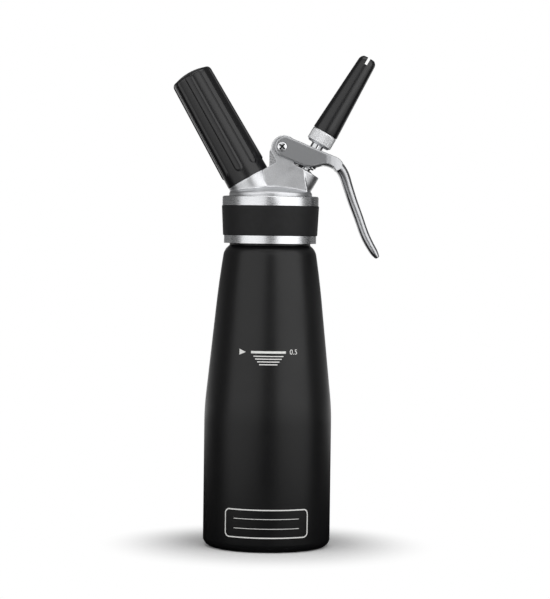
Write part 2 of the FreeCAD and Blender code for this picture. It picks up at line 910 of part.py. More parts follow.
def make_valve_stem():
    """The hollow stem: a foot stud, side ports, the flange that the lever presses and a thread."""
    body = new_body("valve_stem")
    stud_bottom = size.stem_shoulder - size.stud_length
    corners = [
        (0, stud_bottom),
        (size.stud_radius, stud_bottom),
        (size.stud_radius, size.stem_shoulder),
        (size.stem_radius, size.stem_shoulder),
        (size.stem_radius, size.flange_bottom),
        (size.flange_radius, size.flange_bottom),
        (size.flange_radius, size.flange_top),
        (size.stem_radius, size.flange_top),
        (size.stem_radius, size.stem_top),
        (size.stem_bore, size.stem_top),
        (size.stem_bore, size.stem_shoulder + size.stem_floor),
        (0, size.stem_shoulder + size.stem_floor),
    ]
    revolve(body, corners)
    add_thread(
        body,
        size.stem_radius,
        size.stem_radius + size.stem_thread_height,
        size.stem_thread_start,
        size.stem_thread_pitch,
        size.stem_thread_width,
        size.stem_thread_turns,
    )
    for role in ("XZ_Plane", "YZ_Plane"):
        sketch = new_sketch(body, role)
        place = Vector(0, size.port_height.value, 0)
        circle = sketch.addGeometry(Part.Circle(place, Vector(0, 0, 1), size.port_radius.value))
        index = sketch.addConstraint(Sketcher.Constraint("Radius", circle, size.port_radius.value))
        bind(sketch, f"Constraints[{index}]", size.port_radius)
        pin_point(sketch, circle, 3, 0, size.port_height)
        port = body.newObject("PartDesign::Pocket", "side_port")
        port.Profile = sketch
        port.Midplane = True
        bind(port, "Length", 3 * size.stem_radius)
        doc.recompute()
    lean_over(body, "valve")
    return body


def make_stem_o_ring():
    wire = (size.spring_chamber_radius - STEM_HOLE) / 2
    return torus_piece("stem_o_ring", STEM_HOLE + wire, wire, size.spring_chamber_floor + wire, "valve")


def guide_bottom():
    """The guide sits on the stem's sealing ring, whose wire fills the chamber round the stem."""
    return size.spring_chamber_floor + (size.spring_chamber_radius - STEM_HOLE)


def make_stem_guide():
    outer = size.spring_chamber_radius - SLIVER
    bottom = guide_bottom()
    return turned_piece("stem_guide", ring(STEM_HOLE, outer, bottom, bottom + size.guide_height), "valve")


def make_valve_seal():
    top = size.seat_height - SLIVER
    corners = ring(size.stud_radius + SLIVER, size.valve_seal_radius, top - size.valve_seal_height, top)
    return turned_piece("valve_seal", corners, "valve")


def make_valve_foot_nut():
    """The hexagon nut that holds the valve seal on the stem's stud."""
    body = new_body("valve_foot_nut")
    top = size.seat_height - SLIVER - size.valve_seal_height
    bottom = top - size.foot_nut_height
    corner = size.foot_nut_flats / 2 / cosine(as_length(HEXAGON_STEP / 2))
    revolve(body, ring(size.stud_radius + SLIVER, corner, bottom, top))
    half = size.foot_nut_flats / 2
    reach = size.foot_nut_flats
    for turn in range(0, 180, HEXAGON_STEP):
        sides = [
            [(half, bottom - CUT), (reach, bottom - CUT), (reach, top + CUT), (half, top + CUT)],
            [(-reach, bottom - CUT), (-half, bottom - CUT), (-half, top + CUT), (-reach, top + CUT)],
        ]
        extrude(body, "XZ_Plane", sides, 2 * reach, "Pocket", turn=as_length(turn))
    lean_over(body, "valve")
    return body


def coil_path(radius, bottom, rise, turns):
    """A helix of two tangent arcs in each quarter turn."""
    count = int(turns) * 4
    step = math.pi / 2
    climb = rise / (turns * 2 * math.pi)
    edges = []

    def place(angle):
        return Vector(radius * math.cos(angle), radius * math.sin(angle), bottom + climb * angle)

    def heading(angle):
        return Vector(-radius * math.sin(angle), radius * math.cos(angle), climb).normalize()

    def arc(start, control, end):
        middle = (start + end) * 0.5
        weight = (start - middle).Length / (start - control).Length
        crown = (middle + control * weight) * (1 / (1 + weight))
        return Part.Arc(start, crown, end).toShape()

    for index in range(count):
        first, last = index * step, (index + 1) * step
        start, end = place(first), place(last)
        out, into = heading(first), heading(last)
        span = end - start
        bend = out.dot(into) - 1
        along = span.dot(out + into)
        reach = (along - math.sqrt(along * along - 2 * bend * span.dot(span))) / (2 * bend)
        joint = (start + out * reach + end - into * reach) * 0.5
        edges.append(arc(start, start + out * reach, joint))
        edges.append(arc(joint, end - into * reach, end))
    return Part.Wire(edges)


def make_valve_spring():
    """The coil that pushes the stem's flange away from the guide."""
    wire = size.spring_wire.value
    radius = size.spring_radius.value
    turns = int(size.spring_turns.value)
    bottom = guide_bottom().value + size.guide_height.value + wire / 2 + size.spring_end_gap.value
    top = size.flange_bottom.value - wire / 2 - size.spring_end_gap.value
    path = coil_path(radius, bottom, top - bottom, turns)
    start = path.Vertexes[0].Point
    climb = (top - bottom) / (turns * 2 * math.pi)
    section = Part.Wire(Part.Circle(start, Vector(0, radius, climb), wire / 2).toShape())
    coil = path.makePipeShell([section], True)
    spring = doc.addObject("Part::Feature", "valve_spring")
    spring.Label = "valve_spring"
    spring.Shape = coil
    lean = size.nozzle_lean.value
    spring.Placement = Placement(Vector(0, 0, size.nozzle_origin.value), Rotation(Vector(0, 1, 0), lean))
    points = path.discretize(40 * turns)
    gap = min(
        (points[a] - points[b]).Length
        for a in range(0, len(points), 4)
        for b in range(a + 30, len(points), 2)
    )
    print("valve spring: least gap between turns", round(gap - wire, 2), "mm")
    return spring


# Collar and nozzle


def make_nozzle_collar():
    """The knurled collar with its thread below and the spigot that carries the nozzle above."""
    body = new_body("nozzle_collar")
    seal_top = size.stem_top + size.nozzle_seal_height
    chamfer = size.collar_chamfer
    corners = [
        (COLLAR_BORE, size.collar_bottom),
        (size.collar_radius - chamfer, size.collar_bottom),
        (size.collar_radius, size.collar_bottom + chamfer),
        (size.collar_radius, COLLAR_TOP),
        (size.collar_spigot_radius, COLLAR_TOP),
        (size.collar_spigot_radius, COLLAR_TOP + size.collar_spigot_height),
        (size.collar_passage, COLLAR_TOP + size.collar_spigot_height),
        (size.collar_passage, seal_top),
        (COLLAR_BORE, seal_top),
    ]
    revolve(body, corners)
    add_thread(
        body,
        COLLAR_BORE,
        size.stem_radius + size.thread_gap,
        size.stem_thread_start + size.stem_thread_pitch / 2,
        size.stem_thread_pitch,
        size.stem_thread_width,
        size.stem_thread_turns,
    )
    lean_over(body, "valve")
    return body


def make_nozzle_seal():
    outer = COLLAR_BORE - size.gasket_gap
    bottom = size.stem_top
    top = bottom + size.nozzle_seal_height
    return turned_piece("nozzle_seal", ring(size.stem_bore, outer, bottom, top), "valve")


def make_nozzle_tip():
    """The tapered decorator nozzle with crossed slots in its mouth."""
    body = new_body("nozzle_tip")
    bottom = COLLAR_TOP + size.running_gap
    socket_top = COLLAR_TOP + size.collar_spigot_height + SLIVER
    rounding = size.nozzle_rounding
    corners = [
        (size.collar_spigot_radius + SLIVER, bottom),
        (size.nozzle_base_radius, bottom),
        (size.nozzle_tip_radius, NOZZLE_TOP - rounding),
        (size.nozzle_mouth + size.mouth_land, NOZZLE_TOP, size.nozzle_end_radius),
        (size.nozzle_mouth, NOZZLE_TOP),
        (size.nozzle_mouth, NOZZLE_TOP - 2 * size.slot_depth),
        (size.nozzle_throat, socket_top + size.throat_length),
        (size.nozzle_throat, socket_top),
        (size.collar_spigot_radius + SLIVER, socket_top),
    ]
    revolve(body, corners)
    half = size.slot_width / 2
    slot = ring(-half, half, NOZZLE_TOP - size.slot_depth, NOZZLE_TOP + CUT)
    cut = extrude(body, "XZ_Plane", [slot], 4 * size.nozzle_tip_radius, "Pocket")
    pattern = body.newObject("PartDesign::PolarPattern", "slots")
    pattern.Originals = [cut]
    pattern.Axis = (origin_plane(body, "Z_Axis"), [""])
    pattern.Angle = 180
    bind(pattern, "Occurrences", size.slot_count + 1)
    body.Tip = pattern
    doc.recompute()
    lean_over(body, "valve")
    return body


# Lever and pivot


def lever_form():
    """The side view of the lever, from its rounded end over the knee to the tip and back."""
    slope = size.lever_slope
    end_across = size.pivot_across + size.lever_end_across
    end_radius = size.lever_end_radius
    px, pz = size.pivot_across, size.pivot_height
    top = (end_across + end_radius * sine(slope), pz + end_radius * cosine(slope), -end_radius)
    left = (end_across - end_radius * cosine(slope), pz + end_radius * sine(slope), -end_radius)
    bottom = (end_across - end_radius * sine(slope), pz - end_radius * cosine(slope))
    return [
        bottom,
        left,
        top,
        (px + size.knee_across, pz - size.knee_drop),
        (px + size.arm_bend_across, pz - size.arm_bend_drop),
        (px + size.tip_across, pz - size.tip_drop),
        (px + size.heel_across, pz - size.heel_drop),
        (px + size.toe_across, pz - size.toe_drop),
        (px + size.inner_bend_across, pz - size.inner_bend_drop),
        (px + size.inner_knee_across, pz - size.inner_knee_drop),
        (px + size.belly_across, pz - size.belly_drop),
    ]


def round_edge(body, across, drop, radius):
    """Round the lever's edge that runs across it at a corner of the side view."""
    place = Vector((size.pivot_across + across).value, 0, (size.pivot_height - drop).value)
    base = body.Tip
    names = []
    for number, edge in enumerate(base.Shape.Edges, start=1):
        ends = [vertex.Point for vertex in edge.Vertexes]
        along_y = len(ends) == 2 and abs(ends[0].x - ends[1].x) + abs(ends[0].z - ends[1].z) < 1e-6
        if along_y and math.hypot(ends[0].x - place.x, ends[0].z - place.z) < 1e-4:
            names.append(f"Edge{number}")
    fillet = body.newObject("PartDesign::Fillet", "knee_round")
    fillet.Base = (base, names)
    bind(fillet, "Radius", radius)
    doc.recompute()


def make_lever():
    """The forked lever: two cheeks beside the tower, a web over it, a pressing nub and the arm."""
    body = new_body("lever")
    extrude(body, "XZ_Plane", [lever_form()], size.lever_width)
    round_edge(body, size.knee_across, size.knee_drop, size.knee_rounding)
    round_edge(body, size.inner_knee_across, size.inner_knee_drop, size.inner_knee_rounding)
    round_edge(body, size.belly_across, size.belly_drop, size.belly_rounding)
    narrow_arm(body)
    cut_fork(body)
    add_nub(body)
    cut_stem_slot(body)
    add_pivot_hole(body, SLEEVE_HOLE, size.lever_width + 2 * CUT)
    return body


def narrow_arm(body):
    """Cut both sides away in plan view, so that the wide fork runs into the narrow arm."""
    start = size.pivot_across + size.shoulder_start
    end = size.pivot_across + size.shoulder_end
    far = size.pivot_across + size.tip_across + size.arm_width
    wide = size.lever_width / 2 + CUT
    outlines = []
    for way in (1, -1):
        corners = [
            (start, way * size.lever_width / 2),
            (end, way * size.arm_width / 2),
            (far, way * size.tip_width / 2),
            (far, way * wide),
            (start, way * wide),
        ]
        outlines.append(corners)
    sketch = new_sketch(body, "XY_Plane", *outlines)
    feature = body.newObject("PartDesign::Pocket", "arm_sides")
    feature.Profile = sketch
    feature.Midplane = True
    bind(feature, "Length", 4 * size.pivot_height)
    doc.recompute()


def cut_fork(body):
    """Open the fork below the web, and clear the ear round the pivot."""
    add_pivot_hole(body, size.web_clearance, size.fork_gap)
    slope = size.lever_slope
    down = size.web_thickness / cosine(slope)
    left = size.pivot_across
    right = size.pivot_across + size.fork_end_across
    top_across = size.pivot_across + size.lever_end_across + size.lever_end_radius * sine(slope)
    top_height = size.pivot_height + size.lever_end_radius * cosine(slope)
    knee_across = size.pivot_across + size.knee_across
    knee_height = size.pivot_height - size.knee_drop
    fall = (top_height - knee_height) / (knee_across - top_across)
    floor = size.pivot_height - 3 * size.belly_drop
    corners = [
        (left, floor),
        (right, floor),
        (right, top_height - fall * (right - top_across) - down),
        (left, top_height - fall * (left - top_across) - down),
    ]
    extrude(body, "XZ_Plane", [corners], size.fork_gap, "Pocket")


def add_nub(body):
    """A rounded bar across the fork whose underside presses the stem's flange."""
    bottom = size.flange_top + size.running_gap
    radius = size.nub_radius
    high = bottom + radius
    corners = [
        (-radius, high),
        (0, bottom, radius),
        (radius, high, radius),
        (radius, high + size.nub_right_rise),
        (-radius, high + size.nub_left_rise),
    ]
    lean = {"lean": size.nozzle_lean, "height": size.nozzle_origin}
    extrude(body, "XZ_Plane", [corners], size.fork_gap + CUT, **lean)


def cut_stem_slot(body):
    """Open a long hole for the stem, along the way that the lever swings."""
    length, width = size.slot_half_length, size.slot_half_width
    outline = [
        (-length, -width),
        (length, -width),
        (length, width),
        (-length, width),
    ]
    sketch = body.newObject("Sketcher::SketchObject", "stem_slot")
    sketch.AttachmentSupport = (origin_plane(body, "XY_Plane"), [""])
    sketch.MapMode = "FlatFace"
    lean = size.nozzle_lean
    middle = size.flange_top + size.nub_radius
    across = middle * sine(lean)
    up = size.nozzle_origin + middle * cosine(lean)
    place = Vector(across.value, 0, up.value)
    sketch.AttachmentOffset = Placement(place, Rotation(Vector(0, 1, 0), lean.value))
    bind(sketch, ".AttachmentOffset.Base.x", across)
    bind(sketch, ".AttachmentOffset.Base.z", up)
    bind(sketch, ".AttachmentOffset.Rotation.Angle", lean)
    draw(sketch, outline)
    feature = body.newObject("PartDesign::Pocket", "slot")
    feature.Profile = sketch
    feature.Midplane = True
    bind(feature, "Length", 6 * size.nub_radius)
    doc.recompute()


def lay_across(body):
    """Lay an upright piece along Y on the lever's pivot axis, its top towards the rear."""
    place = Vector(size.pivot_across.value, 0, size.pivot_height.value)
    body.Placement = Placement(place, Rotation(Vector(-1, 0, 0), 90))
    bind(body, ".Placement.Base.x", size.pivot_across)
    bind(body, ".Placement.Base.z", size.pivot_height)


def make_pivot_sleeve():
    """The barrel that the lever turns on, with its flange at the rear."""
    half = size.lever_width / 2
    screw_seat = -half - size.screw_proud + size.screw_head_height
    corners = [
        (size.sleeve_bore, screw_seat),
        (size.sleeve_radius, screw_seat),
        (size.sleeve_radius, half + size.running_gap),
        (size.sleeve_flange_radius, half + size.running_gap),
        (size.sleeve_flange_radius, half + size.running_gap + size.sleeve_flange_height),
        (size.sleeve_bore, half + size.running_gap + size.sleeve_flange_height),
    ]
    body = turned_piece("pivot_sleeve", corners)
    lay_across(body)
    return body


def make_pivot_screw():
    """The cross-recessed screw that closes the sleeve from the front."""
    body = new_body("pivot_screw")
    front = -size.lever_width / 2 - size.screw_proud
    seat = front + size.screw_head_height
    end = size.lever_width / 2 - size.screw_end_gap
    shank = size.sleeve_bore - SLIVER
    corners = [
        (0, front),
        (size.screw_head_radius - size.screw_edge, front),
        (size.screw_head_radius, front + size.screw_edge),
        (size.screw_head_radius, seat),
        (shank, seat),
        (shank, end),
        (0, end),
    ]
    revolve(body, corners)
    half = size.recess_width / 2
    reach = size.recess_length / 2
    depth = front + size.recess_depth
    first = ring(-reach, reach, front - CUT, depth)
    extrude(body, "XZ_Plane", [first], size.recess_width, "Pocket")
    second = ring(-half, half, front - CUT, depth)
    extrude(body, "XZ_Plane", [second], size.recess_length, "Pocket")
    lay_across(body)
    return body


# Build, test and write the sub-parts

MAKERS = [
    make_bottle,
    make_head_body,
    make_grip_band,
    make_head_gasket,
    make_pin_carrier,
    make_piercing_pin,
    make_charger_seal,
    make_check_valve_ring,
    make_pin_o_ring,
    make_gas_charger,
    make_charger_holder,
    make_holder_insert,
    make_valve_stem,
    make_stem_o_ring,
    make_stem_guide,
    make_valve_spring,
    make_valve_seal,
    make_valve_foot_nut,
    make_nozzle_collar,
    make_nozzle_seal,
    make_nozzle_tip,
    make_lever,
    make_pivot_sleeve,
    make_pivot_screw,
]


def main():
    pieces = [make() for make in MAKERS]
    doc.recompute()
    for thing in doc.Objects:
        if "Invalid" in thing.State or "Error" in thing.State:
            raise RuntimeError(f"{thing.Label} did not build: {thing.State}")
    os.makedirs("parts", exist_ok=True)
    for piece in pieces:
        shape = piece.Shape
        if shape.isNull() or not shape.isValid():
            raise RuntimeError(f"{piece.Label} has no valid shape")
        if len(shape.Solids) != 1:
            raise RuntimeError(f"{piece.Label} is {len(shape.Solids)} solids")
        print(piece.Label, "volume", round(shape.Volume, 1))
    for piece in pieces:
        piece.Shape.exportStep(f"parts/{piece.Label}.step")


main()
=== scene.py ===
"""Looks of a whipped cream dispenser: turned and cast pieces, their finishes, the prints and the studio."""
import math

import bmesh
import bpy
from mathutils import Matrix, Vector


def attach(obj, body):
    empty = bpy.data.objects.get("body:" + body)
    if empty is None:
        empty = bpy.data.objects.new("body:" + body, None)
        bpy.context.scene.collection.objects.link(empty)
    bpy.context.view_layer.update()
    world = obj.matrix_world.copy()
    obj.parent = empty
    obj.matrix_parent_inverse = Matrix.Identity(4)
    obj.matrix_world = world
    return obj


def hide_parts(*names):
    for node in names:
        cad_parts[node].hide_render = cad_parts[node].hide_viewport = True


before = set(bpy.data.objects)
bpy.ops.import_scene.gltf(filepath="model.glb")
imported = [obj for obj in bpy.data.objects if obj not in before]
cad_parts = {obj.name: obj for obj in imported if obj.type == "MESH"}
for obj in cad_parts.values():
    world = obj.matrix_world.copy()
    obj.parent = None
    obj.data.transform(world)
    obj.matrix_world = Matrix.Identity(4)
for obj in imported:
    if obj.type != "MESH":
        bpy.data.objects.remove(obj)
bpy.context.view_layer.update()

bl_info = {
    "name": "Cream dispenser dresser",
    "version": (1, 0, 0),
    "blender": (4, 5, 0),
    "location": "3D View > Sidebar > Dispenser",
    "description": "Makes the smooth pieces, finishes and studio of a whipped cream dispenser",
    "category": "Object",
}

MM = 0.001
TURN = 2 * math.pi
# The two leaning axes start on the bottle's axis and leave it by 30 degrees
CHARGER_ORIGIN = 201.0
NOZZLE_ORIGIN = 196.6
LEAN = math.radians(30)
PIVOT = (6.6, 244.3)


# Small helpers


def linear(text):
    """Turn an sRGB hex colour into the linear values that a shader takes."""
    channels = [int(text[i:i + 2], 16) / 255 for i in (1, 3, 5)]
    return tuple(c / 12.92 if c <= 0.04045 else ((c + 0.055) / 1.055) ** 2.4 for c in channels) + (1.0,)


def add_node(tree, kind, inputs=None, **settings):
    """Add a node, set its properties, and fill its sockets with values, links or a node's first output."""
    item = tree.nodes.new(kind)
    for name, value in settings.items():
        setattr(item, name, value)
    for key, value in (inputs or {}).items():
        if isinstance(value, bpy.types.Node):
            value = value.outputs[0]
        if isinstance(value, bpy.types.NodeSocket):
            tree.links.new(value, item.inputs[key])
        else:
            item.inputs[key].default_value = value
    return item


def new_object(name, mesh):
    """Link a mesh to the scene as an object at the origin."""
    thing = bpy.data.objects.new(name, mesh)
    bpy.context.scene.collection.objects.link(thing)
    return thing


def lean_matrix(side):
    """The place of a leaning axis: upright millimetres to the frame's metres."""
    if side == "charger":
        height, lean = CHARGER_ORIGIN, -LEAN
    elif side == "nozzle":
        height, lean = NOZZLE_ORIGIN, LEAN
    else:
        return Matrix.Scale(MM, 4)
    return Matrix.Translation((0, 0, height * MM)) @ Matrix.Rotation(lean, 4, "Y") @ Matrix.Scale(MM, 4)


def tidy_mesh(mesh, merge=1e-7):
    """Merge doubled points and turn all faces outwards."""
    shape = bmesh.new()
    shape.from_mesh(mesh)
    bmesh.ops.remove_doubles(shape, verts=shape.verts, dist=merge)
    bmesh.ops.recalc_face_normals(shape, faces=shape.faces)
    shape.to_mesh(mesh)
    shape.free()


def apply_modifiers(thing):
    """Turn a piece's modifiers into its own mesh."""
    bpy.context.view_layer.update()
    evaluated = thing.evaluated_get(bpy.context.evaluated_depsgraph_get())
    mesh = bpy.data.meshes.new_from_object(evaluated)
    thing.modifiers.clear()
    old = thing.data
    thing.data = mesh
    mesh.name = thing.name
    bpy.data.meshes.remove(old)


def smooth_by_angle(thing, degrees=35):
    """Shade a piece smooth, but keep edges sharper than an angle crisp."""
    shape = bmesh.new()
    shape.from_mesh(thing.data)
    for face in shape.faces:
        face.smooth = True
    for edge in shape.edges:
        if len(edge.link_faces) == 2:
            edge.smooth = edge.calc_face_angle(0) < math.radians(degrees)
    shape.to_mesh(thing.data)
    shape.free()


def finish_piece(thing, body, node=None, material=None):
    """Give a finished piece its material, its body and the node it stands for."""
    if material is not None:
        thing.data.materials.clear()
        thing.data.materials.append(material)
    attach(thing, body)
    if node:
        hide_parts(node)


# Turned profiles: lists of (radius, height) in millimetres

# Points closer than this are one point, where a turned grid meets itself
SEAM_GAP = 1e-4


def arc(start, end, radius, steps=12):
    """Points of the shorter arc after its start. A positive radius turns left, a negative one right."""
    a, b = Vector(start), Vector(end)
    chord = b - a
    left = Vector((-chord.y, chord.x)).normalized()
    rise = math.sqrt(max(radius * radius - chord.length_squared / 4, 0.0))
    centre = (a + b) / 2 + left * (rise if radius > 0 else -rise)
    first = math.atan2(a.y - centre.y, a.x - centre.x)
    last = math.atan2(b.y - centre.y, b.x - centre.x)
    sweep = (last - first + math.pi) % TURN - math.pi
    angles = [first + sweep * i / steps for i in range(1, steps + 1)]
    return [(centre.x + abs(radius) * math.cos(t), centre.y + abs(radius) * math.sin(t)) for t in angles]


def soften(points, rounding=0.25, steps=3, closed=False):
    """Round every corner of a profile that turns by more than 15 degrees."""
    count = len(points)
    result = []
    for index in range(count):
        point = Vector(points[index])
        if not closed and index in (0, count - 1):
            result.append(tuple(point))
            continue
        before = Vector(points[index - 1]) - point
        after = Vector(points[(index + 1) % count]) - point
        if before.length < 1e-6 or after.length < 1e-6:
            continue
        turn = math.pi - before.angle(after)
        if turn < math.radians(15):
            result.append(tuple(point))
            continue
        reach = min(rounding * math.tan(turn / 2), 0.45 * before.length, 0.45 * after.length)
        first = point + before.normalized() * reach
        last = point + after.normalized() * reach
        for step in range(steps + 1):
            part = step / steps
            mixed = first * (1 - part) ** 2 + point * 2 * part * (1 - part) + last * part ** 2
            result.append(tuple(mixed))
    return result


def fill_in(points, spacing):
    """Add points along long straight runs, no further apart than a spacing."""
    result = [points[0]]
    for last, point in zip(points, points[1:]):
        a, b = Vector(last), Vector(point)
        parts = max(1, math.ceil((b - a).length / spacing))
        result += [tuple(a.lerp(b, i / parts)) for i in range(1, parts + 1)]
    return result


def make_lathe_tree():
    """Geometry nodes that turn a profile about Z, with ribs or a knurl where the profile asks for them."""
    tree = bpy.data.node_groups.new("turned_with_ribs", "GeometryNodeTree")
    face = tree.interface
    face.new_socket("Geometry", in_out="OUTPUT", socket_type="NodeSocketGeometry")
    face.new_socket("Profile", in_out="INPUT", socket_type="NodeSocketGeometry")
    for name, kind, value in (
        ("Steps", "NodeSocketInt", 128),
        ("Rib Count", "NodeSocketInt", 8),
        ("Rib Edge", "NodeSocketFloat", 0.5),
        ("Rib Turn", "NodeSocketFloat", 0.0),
        ("Material", "NodeSocketMaterial", None),
    ):
        socket = face.new_socket(name, in_out="INPUT", socket_type=kind)
        if value is not None:
            socket.default_value = value

    given = add_node(tree, "NodeGroupInput").outputs
    size = add_node(tree, "GeometryNodeAttributeDomainSize", {"Geometry": given["Profile"]}, component="MESH")
    count = size.outputs["Point Count"]
    across = add_node(tree, "ShaderNodeMath", {0: given["Steps"], 1: 1.0}, operation="ADD")
    spans = {"Size X": 1.0, "Size Y": 1.0, "Vertices X": across, "Vertices Y": count}
    grid = add_node(tree, "GeometryNodeMeshGrid", spans)
    here = add_node(tree, "GeometryNodeInputPosition")
    place = add_node(tree, "ShaderNodeSeparateXYZ", {0: here}).outputs
    round_part = add_node(tree, "ShaderNodeMath", {0: place["X"], 1: 0.5}, operation="ADD")
    along_part = add_node(tree, "ShaderNodeMath", {0: place["Y"], 1: 0.5}, operation="ADD")
    angle = add_node(tree, "ShaderNodeMath", {0: round_part, 1: TURN}, operation="MULTIPLY")

    # The profile's own point, rib half width and rib height for each row of the grid
    last_row = add_node(tree, "ShaderNodeMath", {0: count, 1: 1.0}, operation="SUBTRACT")
    row = add_node(tree, "ShaderNodeMath", {0: along_part, 1: last_row}, operation="MULTIPLY")
    index = add_node(tree, "ShaderNodeMath", {0: row}, operation="ROUND")
    halves = add_node(tree, "GeometryNodeInputNamedAttribute", {"Name": "rib_half"}, data_type="FLOAT")
    lifts = add_node(tree, "GeometryNodeInputNamedAttribute", {"Name": "rib_lift"}, data_type="FLOAT")
    samples = []
    for kind, value in (("FLOAT_VECTOR", here), ("FLOAT", halves), ("FLOAT", lifts)):
        taken = {"Geometry": given["Profile"], "Value": value, "Index": index}
        samples.append(add_node(tree, "GeometryNodeSampleIndex", taken, data_type=kind, domain="POINT"))
    spot, half, lift = samples
    point = add_node(tree, "ShaderNodeSeparateXYZ", {0: spot}).outputs

    # How far a place lies from the middle of its rib, and how much of the rib's height it gets
    ribs_on = add_node(tree, "ShaderNodeMath", {0: round_part, 1: given["Rib Count"]}, operation="MULTIPLY")
    turned = add_node(tree, "ShaderNodeMath", {0: ribs_on, 1: given["Rib Turn"]}, operation="ADD")
    share = add_node(tree, "ShaderNodeMath", {0: turned}, operation="FRACT")
    past_middle = add_node(tree, "ShaderNodeMath", {0: share, 1: 0.5}, operation="SUBTRACT")
    off_centre = add_node(tree, "ShaderNodeMath", {0: past_middle}, operation="ABSOLUTE")
    girth = add_node(tree, "ShaderNodeMath", {0: point["X"], 1: TURN}, operation="MULTIPLY")
    pitch = add_node(tree, "ShaderNodeMath", {0: girth, 1: given["Rib Count"]}, operation="DIVIDE")
    off = add_node(tree, "ShaderNodeMath", {0: off_centre, 1: pitch}, operation="MULTIPLY")
    top = add_node(tree, "ShaderNodeMath", {0: half, 1: given["Rib Edge"]}, operation="SUBTRACT")
    side = add_node(tree, "ShaderNodeMapRange", {"Value": off, "From Min": top, "From Max": half})
    fall = add_node(tree, "ShaderNodeMath", {0: side, 1: side}, operation="MULTIPLY")
    crown = add_node(tree, "ShaderNodeMath", {0: 1.0, 1: fall}, operation="SUBTRACT")
    rise = add_node(tree, "ShaderNodeMath", {0: lift, 1: crown}, operation="MULTIPLY")
    radius = add_node(tree, "ShaderNodeMath", {0: point["X"], 1: rise}, operation="ADD")

    parts = {"Z": point["Z"]}
    for axis, operation in (("X", "COSINE"), ("Y", "SINE")):
        wave = add_node(tree, "ShaderNodeMath", {0: angle}, operation=operation)
        parts[axis] = add_node(tree, "ShaderNodeMath", {0: radius, 1: wave}, operation="MULTIPLY")
    where = add_node(tree, "ShaderNodeCombineXYZ", parts)
    moved = add_node(tree, "GeometryNodeSetPosition", {"Geometry": grid, "Position": where})
    merged = add_node(tree, "GeometryNodeMergeByDistance", {"Geometry": moved, "Distance": SEAM_GAP})
    shaded = add_node(tree, "GeometryNodeSetShadeSmooth", {"Geometry": merged})
    real = add_node(tree, "GeometryNodeRealizeInstances", {"Geometry": shaded})
    paint = {"Geometry": real, "Material": given["Material"]}
    painted = add_node(tree, "GeometryNodeSetMaterial", paint)
    add_node(tree, "NodeGroupOutput", {"Geometry": painted})
    return tree


def socket_id(tree, name):
    """The identifier of a tree's named input."""
    inputs = (item for item in tree.interface.items_tree if item.in_out == "INPUT")
    return next(item.identifier for item in inputs if item.name == name)


def turned_piece(
    name, profile, material, side=None, steps=128, closed=True, ribs=None, count=8, edge=0.5, turn=0.0
):
    """Turn a profile into a piece. ribs gives a rib's half width and height for a place on the profile."""
    tree = bpy.data.node_groups.get("turned_with_ribs") or make_lathe_tree()
    points = list(profile) + ([profile[0]] if closed else [])
    mesh = bpy.data.meshes.new(name)
    edges = [(i, i + 1) for i in range(len(points) - 1)]
    mesh.from_pydata([(r, 0.0, z) for r, z in points], edges, [])
    values = [ribs(r, z) if ribs else (0.0, 0.0) for r, z in points]
    for attribute, column in (("rib_half", 0), ("rib_lift", 1)):
        layer = mesh.attributes.new(attribute, "FLOAT", "POINT")
        layer.data.foreach_set("value", [value[column] for value in values])
    thing = new_object(name, mesh)
    modifier = thing.modifiers.new("turned", "NODES")
    modifier.node_group = tree
    given = {"Steps": steps, "Rib Count": count, "Rib Edge": edge, "Rib Turn": turn, "Material": material}
    for label, value in given.items():
        modifier[socket_id(tree, label)] = value
    apply_modifiers(thing)
    thing.data.transform(lean_matrix(side))
    tidy_mesh(thing.data)
    return thing


# Materials


def new_material(name, colour, metallic, roughness):
    """A principled material with its fixed values on the shader's own sockets."""
    material = bpy.data.materials.new(name)
    material.use_nodes = True
    tree = material.node_tree
    tree.nodes.clear()
    fixed = {"Base Color": linear(colour), "Metallic": metallic, "Roughness": roughness}
    shader = add_node(tree, "ShaderNodeBsdfPrincipled", fixed)
    add_node(tree, "ShaderNodeOutputMaterial", {"Surface": shader.outputs[0]})
    return material, tree, shader


def object_point(tree, scale=(1, 1, 1), turn=(0, 0, 0)):
    """A point of the piece in millimetres, stretched or turned for a pattern."""
    point = add_node(tree, "ShaderNodeTexCoord").outputs["Object"]
    laid = {"Vector": point, "Rotation": turn, "Scale": [part / MM for part in scale]}
    return add_node(tree, "ShaderNodeMapping", laid).outputs[0]


def vary(tree, shader, pattern, colours=None, rough=None, relief=None, span=(0.3, 0.7)):
    """Let a pattern set a shader's colour and roughness over a span of its values, and its relief.

    colours are two hex colours, rough is two values, relief is a strength and a height in millimetres.
    """
    limits = {"Value": pattern, "From Min": span[0], "From Max": span[1]}
    if colours:
        share = add_node(tree, "ShaderNodeMapRange", limits)
        dark, light = [linear(colour) for colour in colours]
        mix = add_node(tree, "ShaderNodeMix", {0: share, 6: dark, 7: light}, data_type="RGBA")
        tree.links.new(mix.outputs[2], shader.inputs["Base Color"])
    if rough:
        amount = add_node(tree, "ShaderNodeMapRange", {**limits, "To Min": rough[0], "To Max": rough[1]})
        tree.links.new(amount.outputs[0], shader.inputs["Roughness"])
    if relief:
        height = {"Height": pattern, "Strength": relief[0], "Distance": relief[1] * MM}
        tree.links.new(add_node(tree, "ShaderNodeBump", height).outputs[0], shader.inputs["Normal"])


